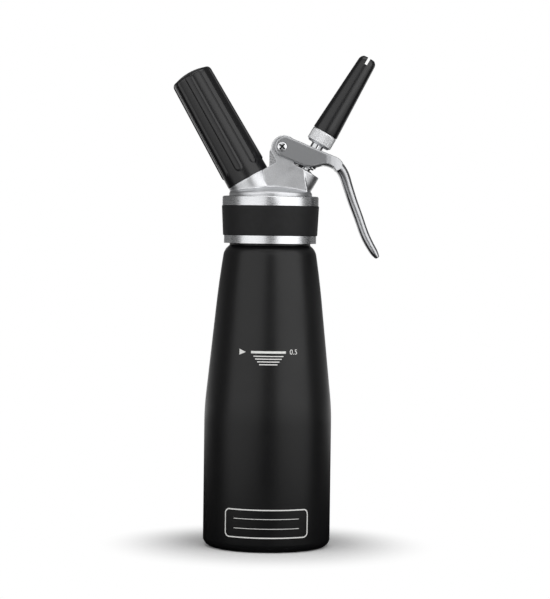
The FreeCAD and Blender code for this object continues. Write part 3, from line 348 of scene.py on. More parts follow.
def powder_coat():
    """Black powder coat: baked grains flow into a fine matte orange peel with soft broad highlights."""
    settings = bpy.context.scene.dispenser_finish
    material, tree, shader = new_material("black_powder_coat", "#0a0a0b", 0.0, 0.42)
    point = object_point(tree)
    grain_inputs = {"Vector": point, "Scale": 2.6, "Detail": 3.0, "Roughness": 0.6}
    grain = add_node(tree, "ShaderNodeTexNoise", grain_inputs).outputs["Fac"]
    patches_inputs = {"Vector": point, "Scale": 0.05, "Detail": 2.0, "Roughness": 0.5}
    patches = add_node(tree, "ShaderNodeTexNoise", patches_inputs).outputs["Fac"]
    vary(tree, shader, grain, colours=(settings.coat_dark, settings.coat_light))
    vary(tree, shader, patches, rough=(0.3, 0.35))
    shader.inputs["Specular IOR Level"].default_value = 0.34
    vary(tree, shader, grain, relief=(0.2, 0.03))
    return material


def silicone_rubber():
    """Black silicone: a soft moulded rubber, dull, with a faint dusty bloom."""
    material, tree, shader = new_material("black_silicone", "#1b1b1d", 0.0, 0.62)
    point = object_point(tree)
    dust_inputs = {"Vector": point, "Scale": 0.25, "Detail": 4.0, "Roughness": 0.6}
    dust = add_node(tree, "ShaderNodeTexNoise", dust_inputs).outputs["Fac"]
    fine_inputs = {"Vector": point, "Scale": 4.0, "Detail": 2.0, "Roughness": 0.5}
    fine = add_node(tree, "ShaderNodeTexNoise", fine_inputs).outputs["Fac"]
    vary(tree, shader, dust, colours=("#0a0a0b", "#111113"))
    vary(tree, shader, fine, rough=(0.55, 0.68))
    shader.inputs["Specular IOR Level"].default_value = 0.36
    vary(tree, shader, fine, relief=(0.15, 0.03))
    return material


def moulded_plastic(name="black_plastic", dark="#08080a", light="#0e0e10", rough=(0.26, 0.32)):
    """Moulded plastic: a finely eroded mould leaves a satin grain, with clean highlights on edges."""
    material, tree, shader = new_material(name, dark, 0.0, 0.4)
    point = object_point(tree)
    grain_inputs = {"Vector": point, "Scale": 3.2, "Detail": 2.0, "Roughness": 0.55}
    grain = add_node(tree, "ShaderNodeTexNoise", grain_inputs).outputs["Fac"]
    vary(tree, shader, grain, colours=(dark, light), rough=rough, relief=(0.15, 0.02))
    return material


def turned_aluminium():
    """Turned aluminium: the lathe tool leaves fine rings, so the light draws upright streaks."""
    material, tree, shader = new_material("turned_aluminium", "#d4d5d7", 1.0, 0.24)
    shader.inputs["Anisotropic"].default_value = 0.4
    drawn = object_point(tree, (0.05, 0.05, 1.0))
    rings_inputs = {"Vector": drawn, "Scale": 6.0, "Detail": 3.0, "Roughness": 0.7}
    rings = add_node(tree, "ShaderNodeTexNoise", rings_inputs).outputs["Fac"]
    vary(tree, shader, rings, colours=("#c6c7c9", "#dddee0"), rough=(0.24, 0.3), relief=(0.05, 0.02))
    return material


def blasted_aluminium():
    """Bead-blasted cast aluminium: thousands of small dents scatter the light into a pale grain."""
    material, tree, shader = new_material("blasted_aluminium", "#cfd0d2", 1.0, 0.38)
    point = object_point(tree)
    dents_inputs = {"Vector": point, "Scale": 2.2, "Detail": 3.0, "Roughness": 0.65}
    dents = add_node(tree, "ShaderNodeTexNoise", dents_inputs).outputs["Fac"]
    worn_inputs = {"Vector": point, "Scale": 0.12, "Detail": 2.0, "Roughness": 0.5}
    worn = add_node(tree, "ShaderNodeTexNoise", worn_inputs).outputs["Fac"]
    vary(tree, shader, dents, colours=("#bfc0c2", "#dbdcde"))
    vary(tree, shader, worn, rough=(0.33, 0.43))
    vary(tree, shader, dents, relief=(0.5, 0.05))
    return material


def lever_metal():
    """Polished cast metal: buffed bright on every rounded edge, with the flat cheeks left satin."""
    material, tree, shader = new_material("polished_lever_metal", "#b4b5b7", 1.0, 0.2)
    place = add_node(tree, "ShaderNodeSeparateXYZ", {0: object_point(tree)})
    out = add_node(tree, "ShaderNodeMath", {0: place.outputs["Y"]}, operation="ABSOLUTE").outputs[0]
    normal = add_node(tree, "ShaderNodeNewGeometry").outputs["Normal"]
    facing = add_node(tree, "ShaderNodeSeparateXYZ", {0: normal})
    sideways = add_node(tree, "ShaderNodeMath", {0: facing.outputs["Y"]}, operation="ABSOLUTE").outputs[0]
    flat = add_node(tree, "ShaderNodeMapRange", {"Value": sideways, "From Min": 0.7, "From Max": 0.99})
    cheek = add_node(tree, "ShaderNodeMapRange", {"Value": out, "From Min": 6.0, "From Max": 13.0})
    satin = add_node(tree, "ShaderNodeMath", {0: flat, 1: cheek}, operation="MULTIPLY")
    drawn = object_point(tree, (0.15, 1.0, 1.0), (0, math.radians(20), 0))
    streaks_inputs = {"Vector": drawn, "Scale": 4.0, "Detail": 3.0, "Roughness": 0.6}
    streaks = add_node(tree, "ShaderNodeTexNoise", streaks_inputs).outputs["Fac"]
    vary(tree, shader, satin, ("#b4b5b7", "#a3a4a6"), (0.26, 0.36), span=(0.0, 1.0))
    vary(tree, shader, streaks, relief=(0.06, 0.02))
    return material


def knurled_aluminium():
    """Knurled aluminium: rolled teeth with bright crests, bare and a little dusty between them."""
    material, tree, shader = new_material("knurled_aluminium", "#d9dadc", 1.0, 0.28)
    grain_inputs = {"Vector": object_point(tree), "Scale": 3.0, "Detail": 2.0, "Roughness": 0.5}
    grain = add_node(tree, "ShaderNodeTexNoise", grain_inputs).outputs["Fac"]
    vary(tree, shader, grain, colours=("#d2d3d5", "#e4e5e6"), rough=(0.34, 0.44), relief=(0.1, 0.02))
    return material


def polished_steel(name="polished_steel", colour="#c9cacc", rough=(0.08, 0.16)):
    """Polished stainless steel: buffed almost to a mirror, with faint wipe marks."""
    material, tree, shader = new_material(name, colour, 1.0, 0.12)
    marks_inputs = {"Vector": object_point(tree), "Scale": 0.8, "Detail": 4.0, "Roughness": 0.7}
    marks = add_node(tree, "ShaderNodeTexNoise", marks_inputs).outputs["Fac"]
    vary(tree, shader, marks, rough=rough, relief=(0.04, 0.02))
    return material


def plated_screw():
    """Nickel-plated screw: a bright satin head, with painted shade that darkens its colour deep in the cross
    recess.
    """
    material = polished_steel("plated_screw", "#dcdddf", (0.26, 0.34))
    tree = material.node_tree
    shader = next(node for node in tree.nodes if node.type == "BSDF_PRINCIPLED")
    depth = add_node(tree, "ShaderNodeSeparateXYZ", {0: object_point(tree)}).outputs["Y"]
    # Painted shade: the colour turns dark grey from 13.8 to 13.4 mm along Y, deep down in the cross recess.
    vary(tree, shader, depth, ("#dcdddf", "#3a3b3c"), span=(-13.8, -13.4))
    return material


def turned_brass():
    """Turned brass: warm yellow metal with fine lathe rings."""
    material, tree, shader = new_material("turned_brass", "#c9a45a", 1.0, 0.25)
    drawn = object_point(tree, (0.1, 0.1, 1.0), (0, LEAN, 0))
    rings_inputs = {"Vector": drawn, "Scale": 5.0, "Detail": 2.0, "Roughness": 0.5}
    rings = add_node(tree, "ShaderNodeTexNoise", rings_inputs).outputs["Fac"]
    vary(tree, shader, rings, colours=("#b78f45", "#d4b26a"), relief=(0.1, 0.02))
    return material


def seal_rubber(name="seal_rubber", dark="#0e0e0f", light="#19191b"):
    """Nitrile or silicone seal: moulded rubber with a dull skin."""
    material, tree, shader = new_material(name, dark, 0.0, 0.6)
    skin_inputs = {"Vector": object_point(tree), "Scale": 1.5, "Detail": 3.0, "Roughness": 0.5}
    skin = add_node(tree, "ShaderNodeTexNoise", skin_inputs).outputs["Fac"]
    vary(tree, shader, skin, colours=(dark, light), rough=(0.5, 0.7))
    return material


def print_ink():
    """White pad-printed ink: an opaque thin coat, slightly uneven at the edge of each pass."""
    material, tree, shader = new_material("white_ink", "#dededc", 0.0, 0.55)
    specks_inputs = {"Vector": object_point(tree), "Scale": 5.0, "Detail": 2.0, "Roughness": 0.5}
    specks = add_node(tree, "ShaderNodeTexNoise", specks_inputs).outputs["Fac"]
    vary(tree, shader, specks, colours=("#cfcfcd", "#e6e6e4"))
    return material


MATERIALS = {}


def finish_of(name):
    """Make each finish once, and hand out the same one after that."""
    makers = {
        "powder_coat": powder_coat,
        "silicone": silicone_rubber,
        "plastic": moulded_plastic,
        "turned": turned_aluminium,
        "blasted": blasted_aluminium,
        "lever": lever_metal,
        "knurled": knurled_aluminium,
        "steel": polished_steel,
        "screw": plated_screw,
        "brass": turned_brass,
        "seal": seal_rubber,
        "gasket": lambda: seal_rubber("grey_silicone", "#5b5e61", "#6c6f72"),
        "white_plastic": lambda: moulded_plastic("white_plastic", "#d5d4cf", "#dedcd8", (0.4, 0.5)),
        "charger_steel": lambda: polished_steel("plated_charger_steel", "#bdbec1", (0.16, 0.26)),
        "ink": print_ink,
    }
    if name not in MATERIALS:
        MATERIALS[name] = makers[name]()
    return MATERIALS[name]


# Bottle and its prints

BOTTLE_RADIUS = 39.0
BOTTLE_CORNER = 5.0
BOTTLE_WALL = 1.2
BASE_THICKNESS = 1.6
STRAIGHT_TOP = 76.0
CONE_LOW = (38.126, 92.96)
WAIST = (32.286, 149.5)
SHOULDER = (28.6, 178.0)
NECK_FOOT = (24.75, 184.2)
NECK_BORE = 23.0
NECK_TOP = 206.0
LIP = 0.5
BELLY_CURVE = 165.0
UPPER_CURVE = 650.0
SHOULDER_CURVE = 9.0
# How far the inside stands in from the leaning side, measured level
LEANING_WALL = 1.196
# The bottle's skin stays this far inside the solid, so that the prints lie over it
BOTTLE_INSET = 0.03
FILL_MARK_Z = 120.5
PANEL_LOW = 9.0
PANEL_HIGH = 26.4


def bottle_outside():
    """The bottle's side, from the base corner up to the neck."""
    foot = (BOTTLE_RADIUS - BOTTLE_CORNER, 0.0)
    top = (BOTTLE_RADIUS, STRAIGHT_TOP)
    points = [foot] + arc(foot, (BOTTLE_RADIUS, BOTTLE_CORNER), BOTTLE_CORNER)
    points.append(top)
    points += arc(top, CONE_LOW, BELLY_CURVE)
    points.append(WAIST)
    points += arc(WAIST, SHOULDER, UPPER_CURVE)
    points += arc(SHOULDER, NECK_FOOT, SHOULDER_CURVE)
    return points


def radius_at(height):
    """The bottle's radius at a height, between the points of its side."""
    points = bottle_outside()
    for (r0, z0), (r1, z1) in zip(points, points[1:]):
        if z0 <= height <= z1:
            return r0 + (r1 - r0) * (height - z0) / max(z1 - z0, 1e-9)
    return points[0][0]


def wrap(thing, proud):
    """Lay a flat drawing of (across, up) millimetres on the front of the bottle."""
    for vertex in thing.data.vertices:
        across, up = vertex.co.x, vertex.co.y
        radius = radius_at(up)
        angle = across / radius
        out = (radius - BOTTLE_INSET + proud + vertex.co.z) * MM
        vertex.co = (out * math.sin(angle), -out * math.cos(angle), up * MM)


def bar(shape, left, right, low, high, step=0.8):
    """Add a flat rectangle to a drawing, cut into strips that can bend round the bottle."""
    count = max(1, math.ceil((right - left) / step))
    rows = max(1, math.ceil((high - low) / 2))
    grid = []
    for i in range(count + 1):
        across = left + (right - left) * i / count
        heights = [low + (high - low) * j / rows for j in range(rows + 1)]
        grid.append([shape.verts.new((across, up, 0)) for up in heights])
    for i in range(count):
        for j in range(rows):
            shape.faces.new((grid[i][j], grid[i + 1][j], grid[i + 1][j + 1], grid[i][j + 1]))


def text_outline(name, words, height, across, up):
    """A word as a flat mesh in millimetres, centred at a place of the drawing."""
    curve = bpy.data.curves.new(name, "FONT")
    curve.body = words
    curve.size = height
    curve.align_x = "CENTER"
    curve.align_y = "CENTER"
    curve.resolution_u = 4
    holder = new_object(name + "_curve", curve)
    bpy.context.view_layer.update()
    mesh = bpy.data.meshes.new_from_object(holder.evaluated_get(bpy.context.evaluated_depsgraph_get()))
    bpy.data.objects.remove(holder)
    mesh.transform(Matrix.Translation((across, up, 0)))
    return mesh


def make_print(name, shape, material):
    """Turn a drawing into ink on the bottle."""
    mesh = bpy.data.meshes.new(name)
    shape.to_mesh(mesh)
    shape.free()
    thing = new_object(name, mesh)
    wrap(thing, 0.02)
    finish_piece(thing, "bottle", material=material)
    return thing


def fill_mark():
    """The fill line: a long bar, shorter lines under it, a pointer on its left and a number on its right."""
    shape = bmesh.new()
    bar(shape, -10.6, 10.6, FILL_MARK_Z - 0.7, FILL_MARK_Z + 0.7)
    for row, width in enumerate((18.2, 16.1, 13.4, 11.0)):
        middle = FILL_MARK_Z - 2.4 - 1.65 * row
        bar(shape, -width / 2, width / 2, middle - 0.3, middle + 0.3)
    for step in range(8):
        left = -18.2 + 0.5 * step
        tall = 1.7 * (1 - step / 8)
        bar(shape, left, left + 0.5, FILL_MARK_Z - tall, FILL_MARK_Z + tall)
    shape.from_mesh(text_outline("fill_number", "0.5", 4.3, 15.6, FILL_MARK_Z + 0.1))
    return make_print("fill_mark_print", shape, finish_of("ink"))


def label_panel():
    """A plain write-on panel: a rounded frame with ruled lines in it."""
    shape = bmesh.new()
    half, low, high, line, corner = 27.0, PANEL_LOW, PANEL_HIGH, 0.7, 3.2
    rim = []
    for cx, cz, start in (
        (half - corner, high - corner, 0.0),
        (-half + corner, high - corner, 0.25),
        (-half + corner, low + corner, 0.5),
        (half - corner, low + corner, 0.75),
    ):
        for step in range(9):
            angle = (start + 0.25 * step / 8) * TURN
            rim.append((cx, cz, math.cos(angle), math.sin(angle)))
    dense = []
    for first, last in zip(rim, rim[1:] + rim[:1]):
        a, b = Vector(first), Vector(last)
        parts = max(1, math.ceil((b - a).to_2d().length / 0.8))
        dense += [a.lerp(b, i / parts) for i in range(parts)]
    loops = []
    for inset in (0.0, line):
        reach = corner - inset
        loops.append([shape.verts.new((p[0] + p[2] * reach, p[1] + p[3] * reach, 0)) for p in dense])
    for i in range(len(dense)):
        j = (i + 1) % len(dense)
        shape.faces.new((loops[0][i], loops[0][j], loops[1][j], loops[1][i]))
    for height in (PANEL_LOW + 5.8, PANEL_LOW + 11.6):
        bar(shape, -20.5, 20.5, height - 0.17, height + 0.17)
    return make_print("label_panel_print", shape, finish_of("ink"))


def make_bottle():
    """The coated bottle with its inside wall and rounded lip, without the neck's thread."""
    outside = []
    for radius, height in bottle_outside():
        on_side = BOTTLE_CORNER - 0.1 < height < NECK_FOOT[1] - 0.1
        outside.append((radius - (BOTTLE_INSET if on_side else 0), height))
    neck_radius, neck_low = NECK_FOOT
    neck = [(neck_radius, NECK_TOP - LIP), (neck_radius - LIP, NECK_TOP)]
    neck += [(NECK_BORE + LIP, NECK_TOP), (NECK_BORE, NECK_TOP - LIP), (NECK_BORE, neck_low)]
    inner = BOTTLE_RADIUS - BOTTLE_WALL
    inner_corner = BOTTLE_CORNER - BOTTLE_WALL
    inner_foot = (inner, BASE_THICKNESS + inner_corner)
    inside_curve = SHOULDER_CURVE - BOTTLE_WALL
    inside = arc((NECK_BORE, neck_low), (SHOULDER[0] - BOTTLE_WALL, SHOULDER[1]), -inside_curve)
    inside += [(radius - LEANING_WALL, height) for radius, height in (WAIST, CONE_LOW)]
    inside += [(inner, STRAIGHT_TOP), inner_foot]
    inside += arc(inner_foot, (inner - inner_corner, BASE_THICKNESS), -inner_corner) + [(0.0, BASE_THICKNESS)]
    points = fill_in(soften([(0.0, 0.0)] + outside + neck + inside, 0.5), 9.0)
    return turned_piece("coated_bottle", points, finish_of("powder_coat"), steps=192, closed=False)


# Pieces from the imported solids


def copy_node(node, name):
    """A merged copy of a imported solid, ready to be finished."""
    thing = new_object(name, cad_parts[node].data.copy())
    tidy_mesh(thing.data, 1e-6)
    return thing


def cut_with(thing, other, operation):
    """Keep or remove the part of a piece inside another, which is then deleted."""
    modifier = thing.modifiers.new("cut", "BOOLEAN")
    modifier.operation = operation
    modifier.solver = "EXACT"
    modifier.object = other
    apply_modifiers(thing)
    bpy.data.objects.remove(other)


def block(name, low, high, matrix=None):
    """A box between two corners in millimetres, for cutting."""
    shape = bmesh.new()
    bmesh.ops.create_cube(shape, size=1.0)
    for vertex in shape.verts:
        vertex.co = [low[i] + (high[i] - low[i]) * (vertex.co[i] + 0.5) for i in range(3)]
    shape.transform(matrix or Matrix.Scale(MM, 4))
    return new_object(name, mesh_of(shape, name))


def soften_casting(thing, voxel, rounds):
    """Give a piece the even soft edges of a casting."""
    remesh = thing.modifiers.new("skin", "REMESH")
    remesh.mode = "VOXEL"
    remesh.voxel_size = voxel * MM
    remesh.use_smooth_shade = True
    smooth = thing.modifiers.new("soft", "SMOOTH")
    smooth.factor = 0.5
    smooth.iterations = rounds
    apply_modifiers(thing)


# The remeshed casting starts just above the top ring, and the spigot where the boss ends
CASTING_LOW = 214.45
SPIGOT_START = 28.0
CASTING_OVERLAP = 0.25


def make_head_casting():
    """The dome, bosses and tower, with the soft inside corners of a casting."""
    thing = copy_node("head_body", "head_casting")
    cut_with(thing, block("above", (-60, -60, CASTING_LOW), (60, 60, 300)), "INTERSECT")
    spigot = block("spigot", (-20, -20, SPIGOT_START - 0.05), (20, 20, 60), lean_matrix("charger"))
    cut_with(thing, spigot, "DIFFERENCE")
    soften_casting(thing, 0.42, 3)
    return thing


def make_head_skirt():
    """The turned skirt of the head, with its rings, thread and seats."""
    thing = copy_node("head_body", "head_skirt")
    cut_with(thing, block("below", (-60, -60, 150), (60, 60, CASTING_LOW + CASTING_OVERLAP)), "INTERSECT")
    smooth_by_angle(thing, 30)
    return thing


def make_spigot():
    """The threaded spigot inside the holder."""
    thing = copy_node("head_body", "charger_spigot")
    keep = block("keep", (-20, -20, SPIGOT_START - 0.3), (20, 20, 60), lean_matrix("charger"))
    cut_with(thing, keep, "INTERSECT")
    smooth_by_angle(thing, 35)
    return thing


# Lever


CHEEK_HALF = 13.68
FORK_HALF = 11.3
LEVER_END = 6.4


def lever_side():
    """The bottom, left and top of the cheek's rounded end."""
    px, pz = PIVOT
    slope = math.radians(21.5)
    cx = px + 1.8
    bottom = (cx - LEVER_END * math.sin(slope), pz - LEVER_END * math.cos(slope))
    top = (cx + LEVER_END * math.sin(slope), pz + LEVER_END * math.cos(slope))
    left = (cx - LEVER_END * math.cos(slope), pz + LEVER_END * math.sin(slope))
    return bottom, left, top


def arm_stations():
    """Middle line of the arm as (across, up, thickness, half width), from inside the fork to the tip."""
    return [
        (30.0, 237.6, 8.2, 12.4),
        (35.0, 236.3, 7.2, 12.4),
        (39.4, 234.4, 6.8, 11.8),
        (42.6, 231.4, 6.6, 10.6),
        (45.0, 227.2, 6.4, 9.4),
        (47.4, 220.0, 6.1, 8.1),
        (50.3, 211.5, 5.9, 7.2),
        (53.8, 202.4, 5.7, 7.0),
        (56.6, 194.6, 5.6, 7.1),
        (58.8, 189.4, 5.5, 7.3),
        (61.4, 184.6, 5.2, 7.6),
        (64.0, 180.4, 4.6, 7.7),
        (65.9, 177.5, 2.6, 7.2),
    ]


def smooth_stations(stations, parts=6):
    """Run a smooth curve through the stations."""
    result = []
    count = len(stations)
    for index in range(count - 1):
        p0, p1, p2, p3 = [Vector(stations[min(max(index + k, 0), count - 1)]) for k in (-1, 0, 1, 2)]
        for step in range(parts):
            t = step / parts
            bend = (2 * p0 - 5 * p1 + 4 * p2 - p3) * t * t
            twist = (3 * p1 - p0 - 3 * p2 + p3) * t ** 3
            result.append(0.5 * (2 * p1 + (p2 - p0) * t + bend + twist))
    result.append(Vector(stations[-1]))
    return result


def add_prism(shape, outline, half, rounding=0.0):
    """Add a slab of an (across, up) outline with the same reach both ways along Y, its rims rounded."""
    loops = []
    for y, inset in rim_steps(half, rounding):
        loops.append([shape.verts.new((x, y, z)) for x, z in inset_outline(outline, inset)])
    for first, last in zip(loops, loops[1:]):
        for i in range(len(outline)):
            j = (i + 1) % len(outline)
            shape.faces.new((first[i], first[j], last[j], last[i]))
    shape.faces.new(loops[0][::-1])
    shape.faces.new(loops[-1])


def rim_steps(half, rounding, steps=5):
    """Pairs of side reach and inset that round the two rims of a slab."""
    if rounding <= 0:
        return [(-half, 0.0), (half, 0.0)]
    quarter = [(step / steps) * math.pi / 2 for step in range(steps + 1)]
    near = [(-half + rounding * (1 - math.sin(a)), rounding * (1 - math.cos(a))) for a in reversed(quarter)]
    far = [(-y, inset) for y, inset in reversed(near)]
    return near + far


def inset_outline(outline, inset):
    """Move each side of a closed outline inwards by a distance."""
    if inset == 0:
        return outline
    count = len(outline)
    sides = zip(outline, outline[1:] + outline[:1])
    area = sum(first[0] * last[1] - last[0] * first[1] for first, last in sides)
    way = 1 if area > 0 else -1
    result = []
    for i in range(count):
        before = Vector(outline[i]) - Vector(outline[i - 1])
        after = Vector(outline[(i + 1) % count]) - Vector(outline[i])
        n1 = Vector((-before.y, before.x)).normalized() * way
        n2 = Vector((-after.y, after.x)).normalized() * way
        middle = (n1 + n2).normalized()
        scale = 1 / max(middle.dot(n1), 0.5)
        result.append(tuple(Vector(outline[i]) + middle * inset * scale))
    return result


def cheek_outline():
    """The cheek: rounded end, straight top, and a belly that runs into the arm's root."""
    bottom, left, top = lever_side()
    points = [bottom]
    points += arc(bottom, left, -LEVER_END, 10) + arc(left, top, -LEVER_END, 10)
    knee = arc((38.4, 238.95), (43.6, 235.2), -9.0, 6)
    points += [(24.5, 244.6)] + [(38.4, 238.95)] + knee
    points += arc(knee[-1], (39.5, 229.8), -4.6, 6)
    belly = [(37.6, 232.6), (34.6, 233.6), (31.4, 233.4), (28.2, 232.5)]
    belly += [(24.8, 231.9), (21.0, 232.4), (16.7, 233.9), (11.5, 236.1)]
    return points + belly


def cut_prism(thing, name, outline):
    """Cut a slab between the cheeks out of the lever."""
    shape = bmesh.new()
    add_prism(shape, outline, FORK_HALF)
    shape.transform(Matrix.Scale(MM, 4))
    cut_with(thing, new_object(name, mesh_of(shape, name)), "DIFFERENCE")


def fork_room():
    """The side view of the room between the cheeks, with the nub that presses the stem left standing."""
    px = PIVOT[0]
    slope = math.tan(math.radians(21.2))
    top_across, top_up, web = 10.75, 250.25, 3.2
    low, far, nub_low, nub_high = 205.0, 35.5, (26.2, 236.0), (17.9, 239.9)

    def under(x):
        return top_up - (x - top_across) * slope - web

    nub = arc(nub_high, nub_low, 4.6, 10)
    outline = [(px, low), (far, low), (far, under(far)), (27.6, under(27.6))]
    return outline + [(26.9, 237.6)] + nub[::-1] + [(17.9, 240.6), (17.2, under(17.2)), (px, under(px))]


def narrow_sides(thing):
    """Cut the cheeks' outer sides away towards the arm."""
    plan = [(33.5, 13.7), (36.5, 13.3), (39.5, 12.4), (42.5, 10.9), (45.5, 9.0), (48.5, 6.8), (75.0, 6.2)]
    plan += [(75.0, 20.0), (33.5, 20.0)]
    for way in (-1, 1):
        wedge = bmesh.new()
        lower = [wedge.verts.new((x, way * y, 170.0)) for x, y in plan]
        upper = [wedge.verts.new((x, way * y, 260.0)) for x, y in plan]
        wedge.faces.new(lower)
        wedge.faces.new(upper)
        for i in range(len(plan)):
            j = (i + 1) % len(plan)
            wedge.faces.new((lower[i], lower[j], upper[j], upper[i]))
        wedge.transform(Matrix.Scale(MM, 4))
        cut_with(thing, new_object("arm_side", mesh_of(wedge, "arm_side")), "DIFFERENCE")


def make_lever():
    """The polished lever: two cheeks, the web between them, the nub that presses the stem, and the arm."""
    shape = bmesh.new()
    add_prism(shape, cheek_outline(), CHEEK_HALF, 1.0)
    shape.transform(Matrix.Scale(MM, 4))
    thing = new_object("polished_lever", mesh_of(shape, "lever_fork"))
    px, pz = PIVOT
    ear_room, steps = 9.7, 64
    turns = [TURN * i / steps for i in range(steps)]
    cut_prism(thing, "ear_room", [(px + ear_room * math.cos(t), pz + ear_room * math.sin(t)) for t in turns])
    cut_prism(thing, "fork_room", fork_room())
    narrow_sides(thing)
    join_pieces(thing, make_arm())
    soften_casting(thing, 0.36, 4)
    across = Matrix.Translation((px * MM, 0, pz * MM)) @ Matrix.Rotation(math.pi / 2, 4, "X")
    cut_with(thing, cylinder("pivot_hole", 3.06, 20, across @ Matrix.Scale(MM, 4)), "DIFFERENCE")
    slot = block("stem_slot", (-6.2, -4.7, 36.0), (6.2, 4.7, 64.0), lean_matrix("nozzle"))
    cut_with(thing, slot, "DIFFERENCE")
    smooth_by_angle(thing, 40)
    return thing


def mesh_of(shape, name):
    """Turn a built shape into a mesh with its faces outwards."""
    mesh = bpy.data.meshes.new(name)
    bmesh.ops.recalc_face_normals(shape, faces=shape.faces)
    shape.to_mesh(mesh)
    shape.free()
    return mesh


def cylinder(name, radius, half, matrix, steps=64):
    """A cylinder about Z in millimetres, for cutting."""
    shape = bmesh.new()
    size = {"segments": steps, "radius1": radius, "radius2": radius, "depth": 2 * half}
    bmesh.ops.create_cone(shape, cap_ends=True, **size)
    shape.transform(matrix)
    return new_object(name, mesh_of(shape, name))


def make_arm():
    """The bent arm: a rounded bar swept along its middle line, thin and wide at the tip."""
    stations = smooth_stations(arm_stations())
    shape = bmesh.new()
    loops = []
    sides = 28
    for index, (x, z, thick, half) in enumerate(stations):
        ahead = stations[min(index + 1, len(stations) - 1)]
        behind = stations[max(index - 1, 0)]
        run = Vector((ahead[0] - behind[0], ahead[1] - behind[1])).normalized()
        normal = Vector((run.y, -run.x))
        loop = []
        for side in range(sides):
            angle = TURN * side / sides
            wide = math.copysign(abs(math.cos(angle)) ** 0.55, math.cos(angle)) * half
            deep = math.copysign(abs(math.sin(angle)) ** 0.75, math.sin(angle)) * thick / 2
            loop.append(shape.verts.new((x + normal.x * deep, wide, z + normal.y * deep)))
        loops.append(loop)
    for first, last in zip(loops, loops[1:]):
        for i in range(sides):
            j = (i + 1) % sides
            shape.faces.new((first[i], first[j], last[j], last[i]))
    shape.faces.new(loops[0][::-1])
    shape.faces.new(loops[-1])
    shape.transform(Matrix.Scale(MM, 4))
    return new_object("arm", mesh_of(shape, "arm"))


def join_pieces(thing, other):
    """Put another piece's faces into this one's mesh, and delete it."""
    shape = bmesh.new()
    shape.from_mesh(thing.data)
    shape.from_mesh(other.data)
    shape.to_mesh(thing.data)
    shape.free()
    bpy.data.objects.remove(other)


# Operators


class DispenserFinish(bpy.types.PropertyGroup):
    """The settings that a user of the panel can change"""

    coat_dark: bpy.props.StringProperty(
        name="Coat dark", description="Dark grain of the bottle's coat", default="#0a0a0b"
    )
    coat_light: bpy.props.StringProperty(
        name="Coat light", description="Pale grain of the bottle's coat", default="#121213"
    )
    rib_height: bpy.props.FloatProperty(
        name="Rib height",
        description="How far the holder's ribs stand out",
        default=0.68 * MM,
        precision=5,
        subtype="DISTANCE",
        unit="LENGTH",
    )
    knurl_teeth: bpy.props.IntProperty(name="Knurl teeth", description="Teeth round the collar", default=54)


class DISPENSER_OT_bottle(bpy.types.Operator):
    """Make the coated bottle and the prints on it"""

    bl_idname = "dispenser.bottle"
    bl_label = "Bottle"

    def execute(self, context):
        finish_piece(make_bottle(), "bottle", "bottle")
        fill_mark()
        label_panel()
        return {"FINISHED"}


class DISPENSER_OT_head(bpy.types.Operator):
    """Make the head: casting, skirt, spigot and grip band"""

    bl_idname = "dispenser.head"
    bl_label = "Head"

    def execute(self, context):
        finish_piece(make_head_casting(), "head", "head_body", finish_of("blasted"))
        finish_piece(make_head_skirt(), "head", "head_body", finish_of("turned"))
        finish_piece(make_spigot(), "head", "head_body", finish_of("turned"))
        band = [(27.42, 190.22), (28.9, 190.22), (29.8, 208.48), (27.42, 208.48)]
        points = fill_in(soften(band, 0.6, 5, closed=True), 3.0)
        thing = turned_piece("silicone_band", points, finish_of("silicone"), steps=160)
        finish_piece(thing, "head", "grip_band")
        return {"FINISHED"}


HOLDER_LOW = 28.0
HOLDER_SHOULDER = 98.3
HOLDER_WIDE = 13.6
HOLDER_NARROW = 12.3
HOLDER_CORNER = 1.6
HOLDER_DOME = 1.9
INSERT_SEAT = 12.35
RIBS_LOW = 34.2
RIBS_HIGH = 99.6


def holder_profile():
    """The holder's section: skin, domed end, charger bore and insert seat."""
    shoulder = (HOLDER_NARROW, HOLDER_SHOULDER)
    edge = (HOLDER_NARROW - HOLDER_CORNER, HOLDER_SHOULDER + HOLDER_CORNER)
    outside = [(INSERT_SEAT, HOLDER_LOW), (HOLDER_WIDE, HOLDER_LOW), shoulder]
    outside += arc(shoulder, edge, HOLDER_CORNER, 6)
    crown = (edge[0] ** 2 + HOLDER_DOME ** 2) / (2 * HOLDER_DOME)
    dome = arc(edge, (0.0, edge[1] + HOLDER_DOME), crown, 8)
    inside = [(0.0, 97.2), (9.6, 97.2), (9.6, 42.0), (INSERT_SEAT, 42.0)]
    return outside, dome, inside


class DISPENSER_OT_holder(bpy.types.Operator):
    """Make the ribbed charger holder"""

    bl_idname = "dispenser.holder"
    bl_label = "Charger holder"

    def execute(self, context):
        settings = context.scene.dispenser_finish
        outside, dome, inside = holder_profile()
        skin = soften(outside, 0.4)
        points = fill_in(skin, 0.45) + dome + inside + [outside[0]]

        def ribs(radius, height):
            along = (height - HOLDER_LOW) / (HOLDER_SHOULDER - HOLDER_LOW)
            skin_radius = HOLDER_WIDE - (HOLDER_WIDE - HOLDER_NARROW) * along
            if radius < skin_radius - 1.9 or height < RIBS_LOW:
                return (0.0, 0.0)
            rise = min(max((height - RIBS_LOW) / 2.3, 0.0), 1.0)
            half = 2.4 * math.sqrt(max(1 - (1 - rise) ** 2, 0.0))
            fade = min(max((RIBS_HIGH - height) / 2.0, 0.0), 1.0)
            return (half, settings.rib_height / MM * fade)

        # The ribs are turned by 8 degrees of the 45 from one rib to the next
        style = {"steps": 400, "closed": False, "ribs": ribs, "count": 8, "edge": 1.3}
        style["turn"] = 0.5 + 8.0 / 45.0
        thing = turned_piece("ribbed_holder", points, finish_of("plastic"), "charger", **style)
        finish_piece(thing, "holder", "charger_holder")
        return {"FINISHED"}


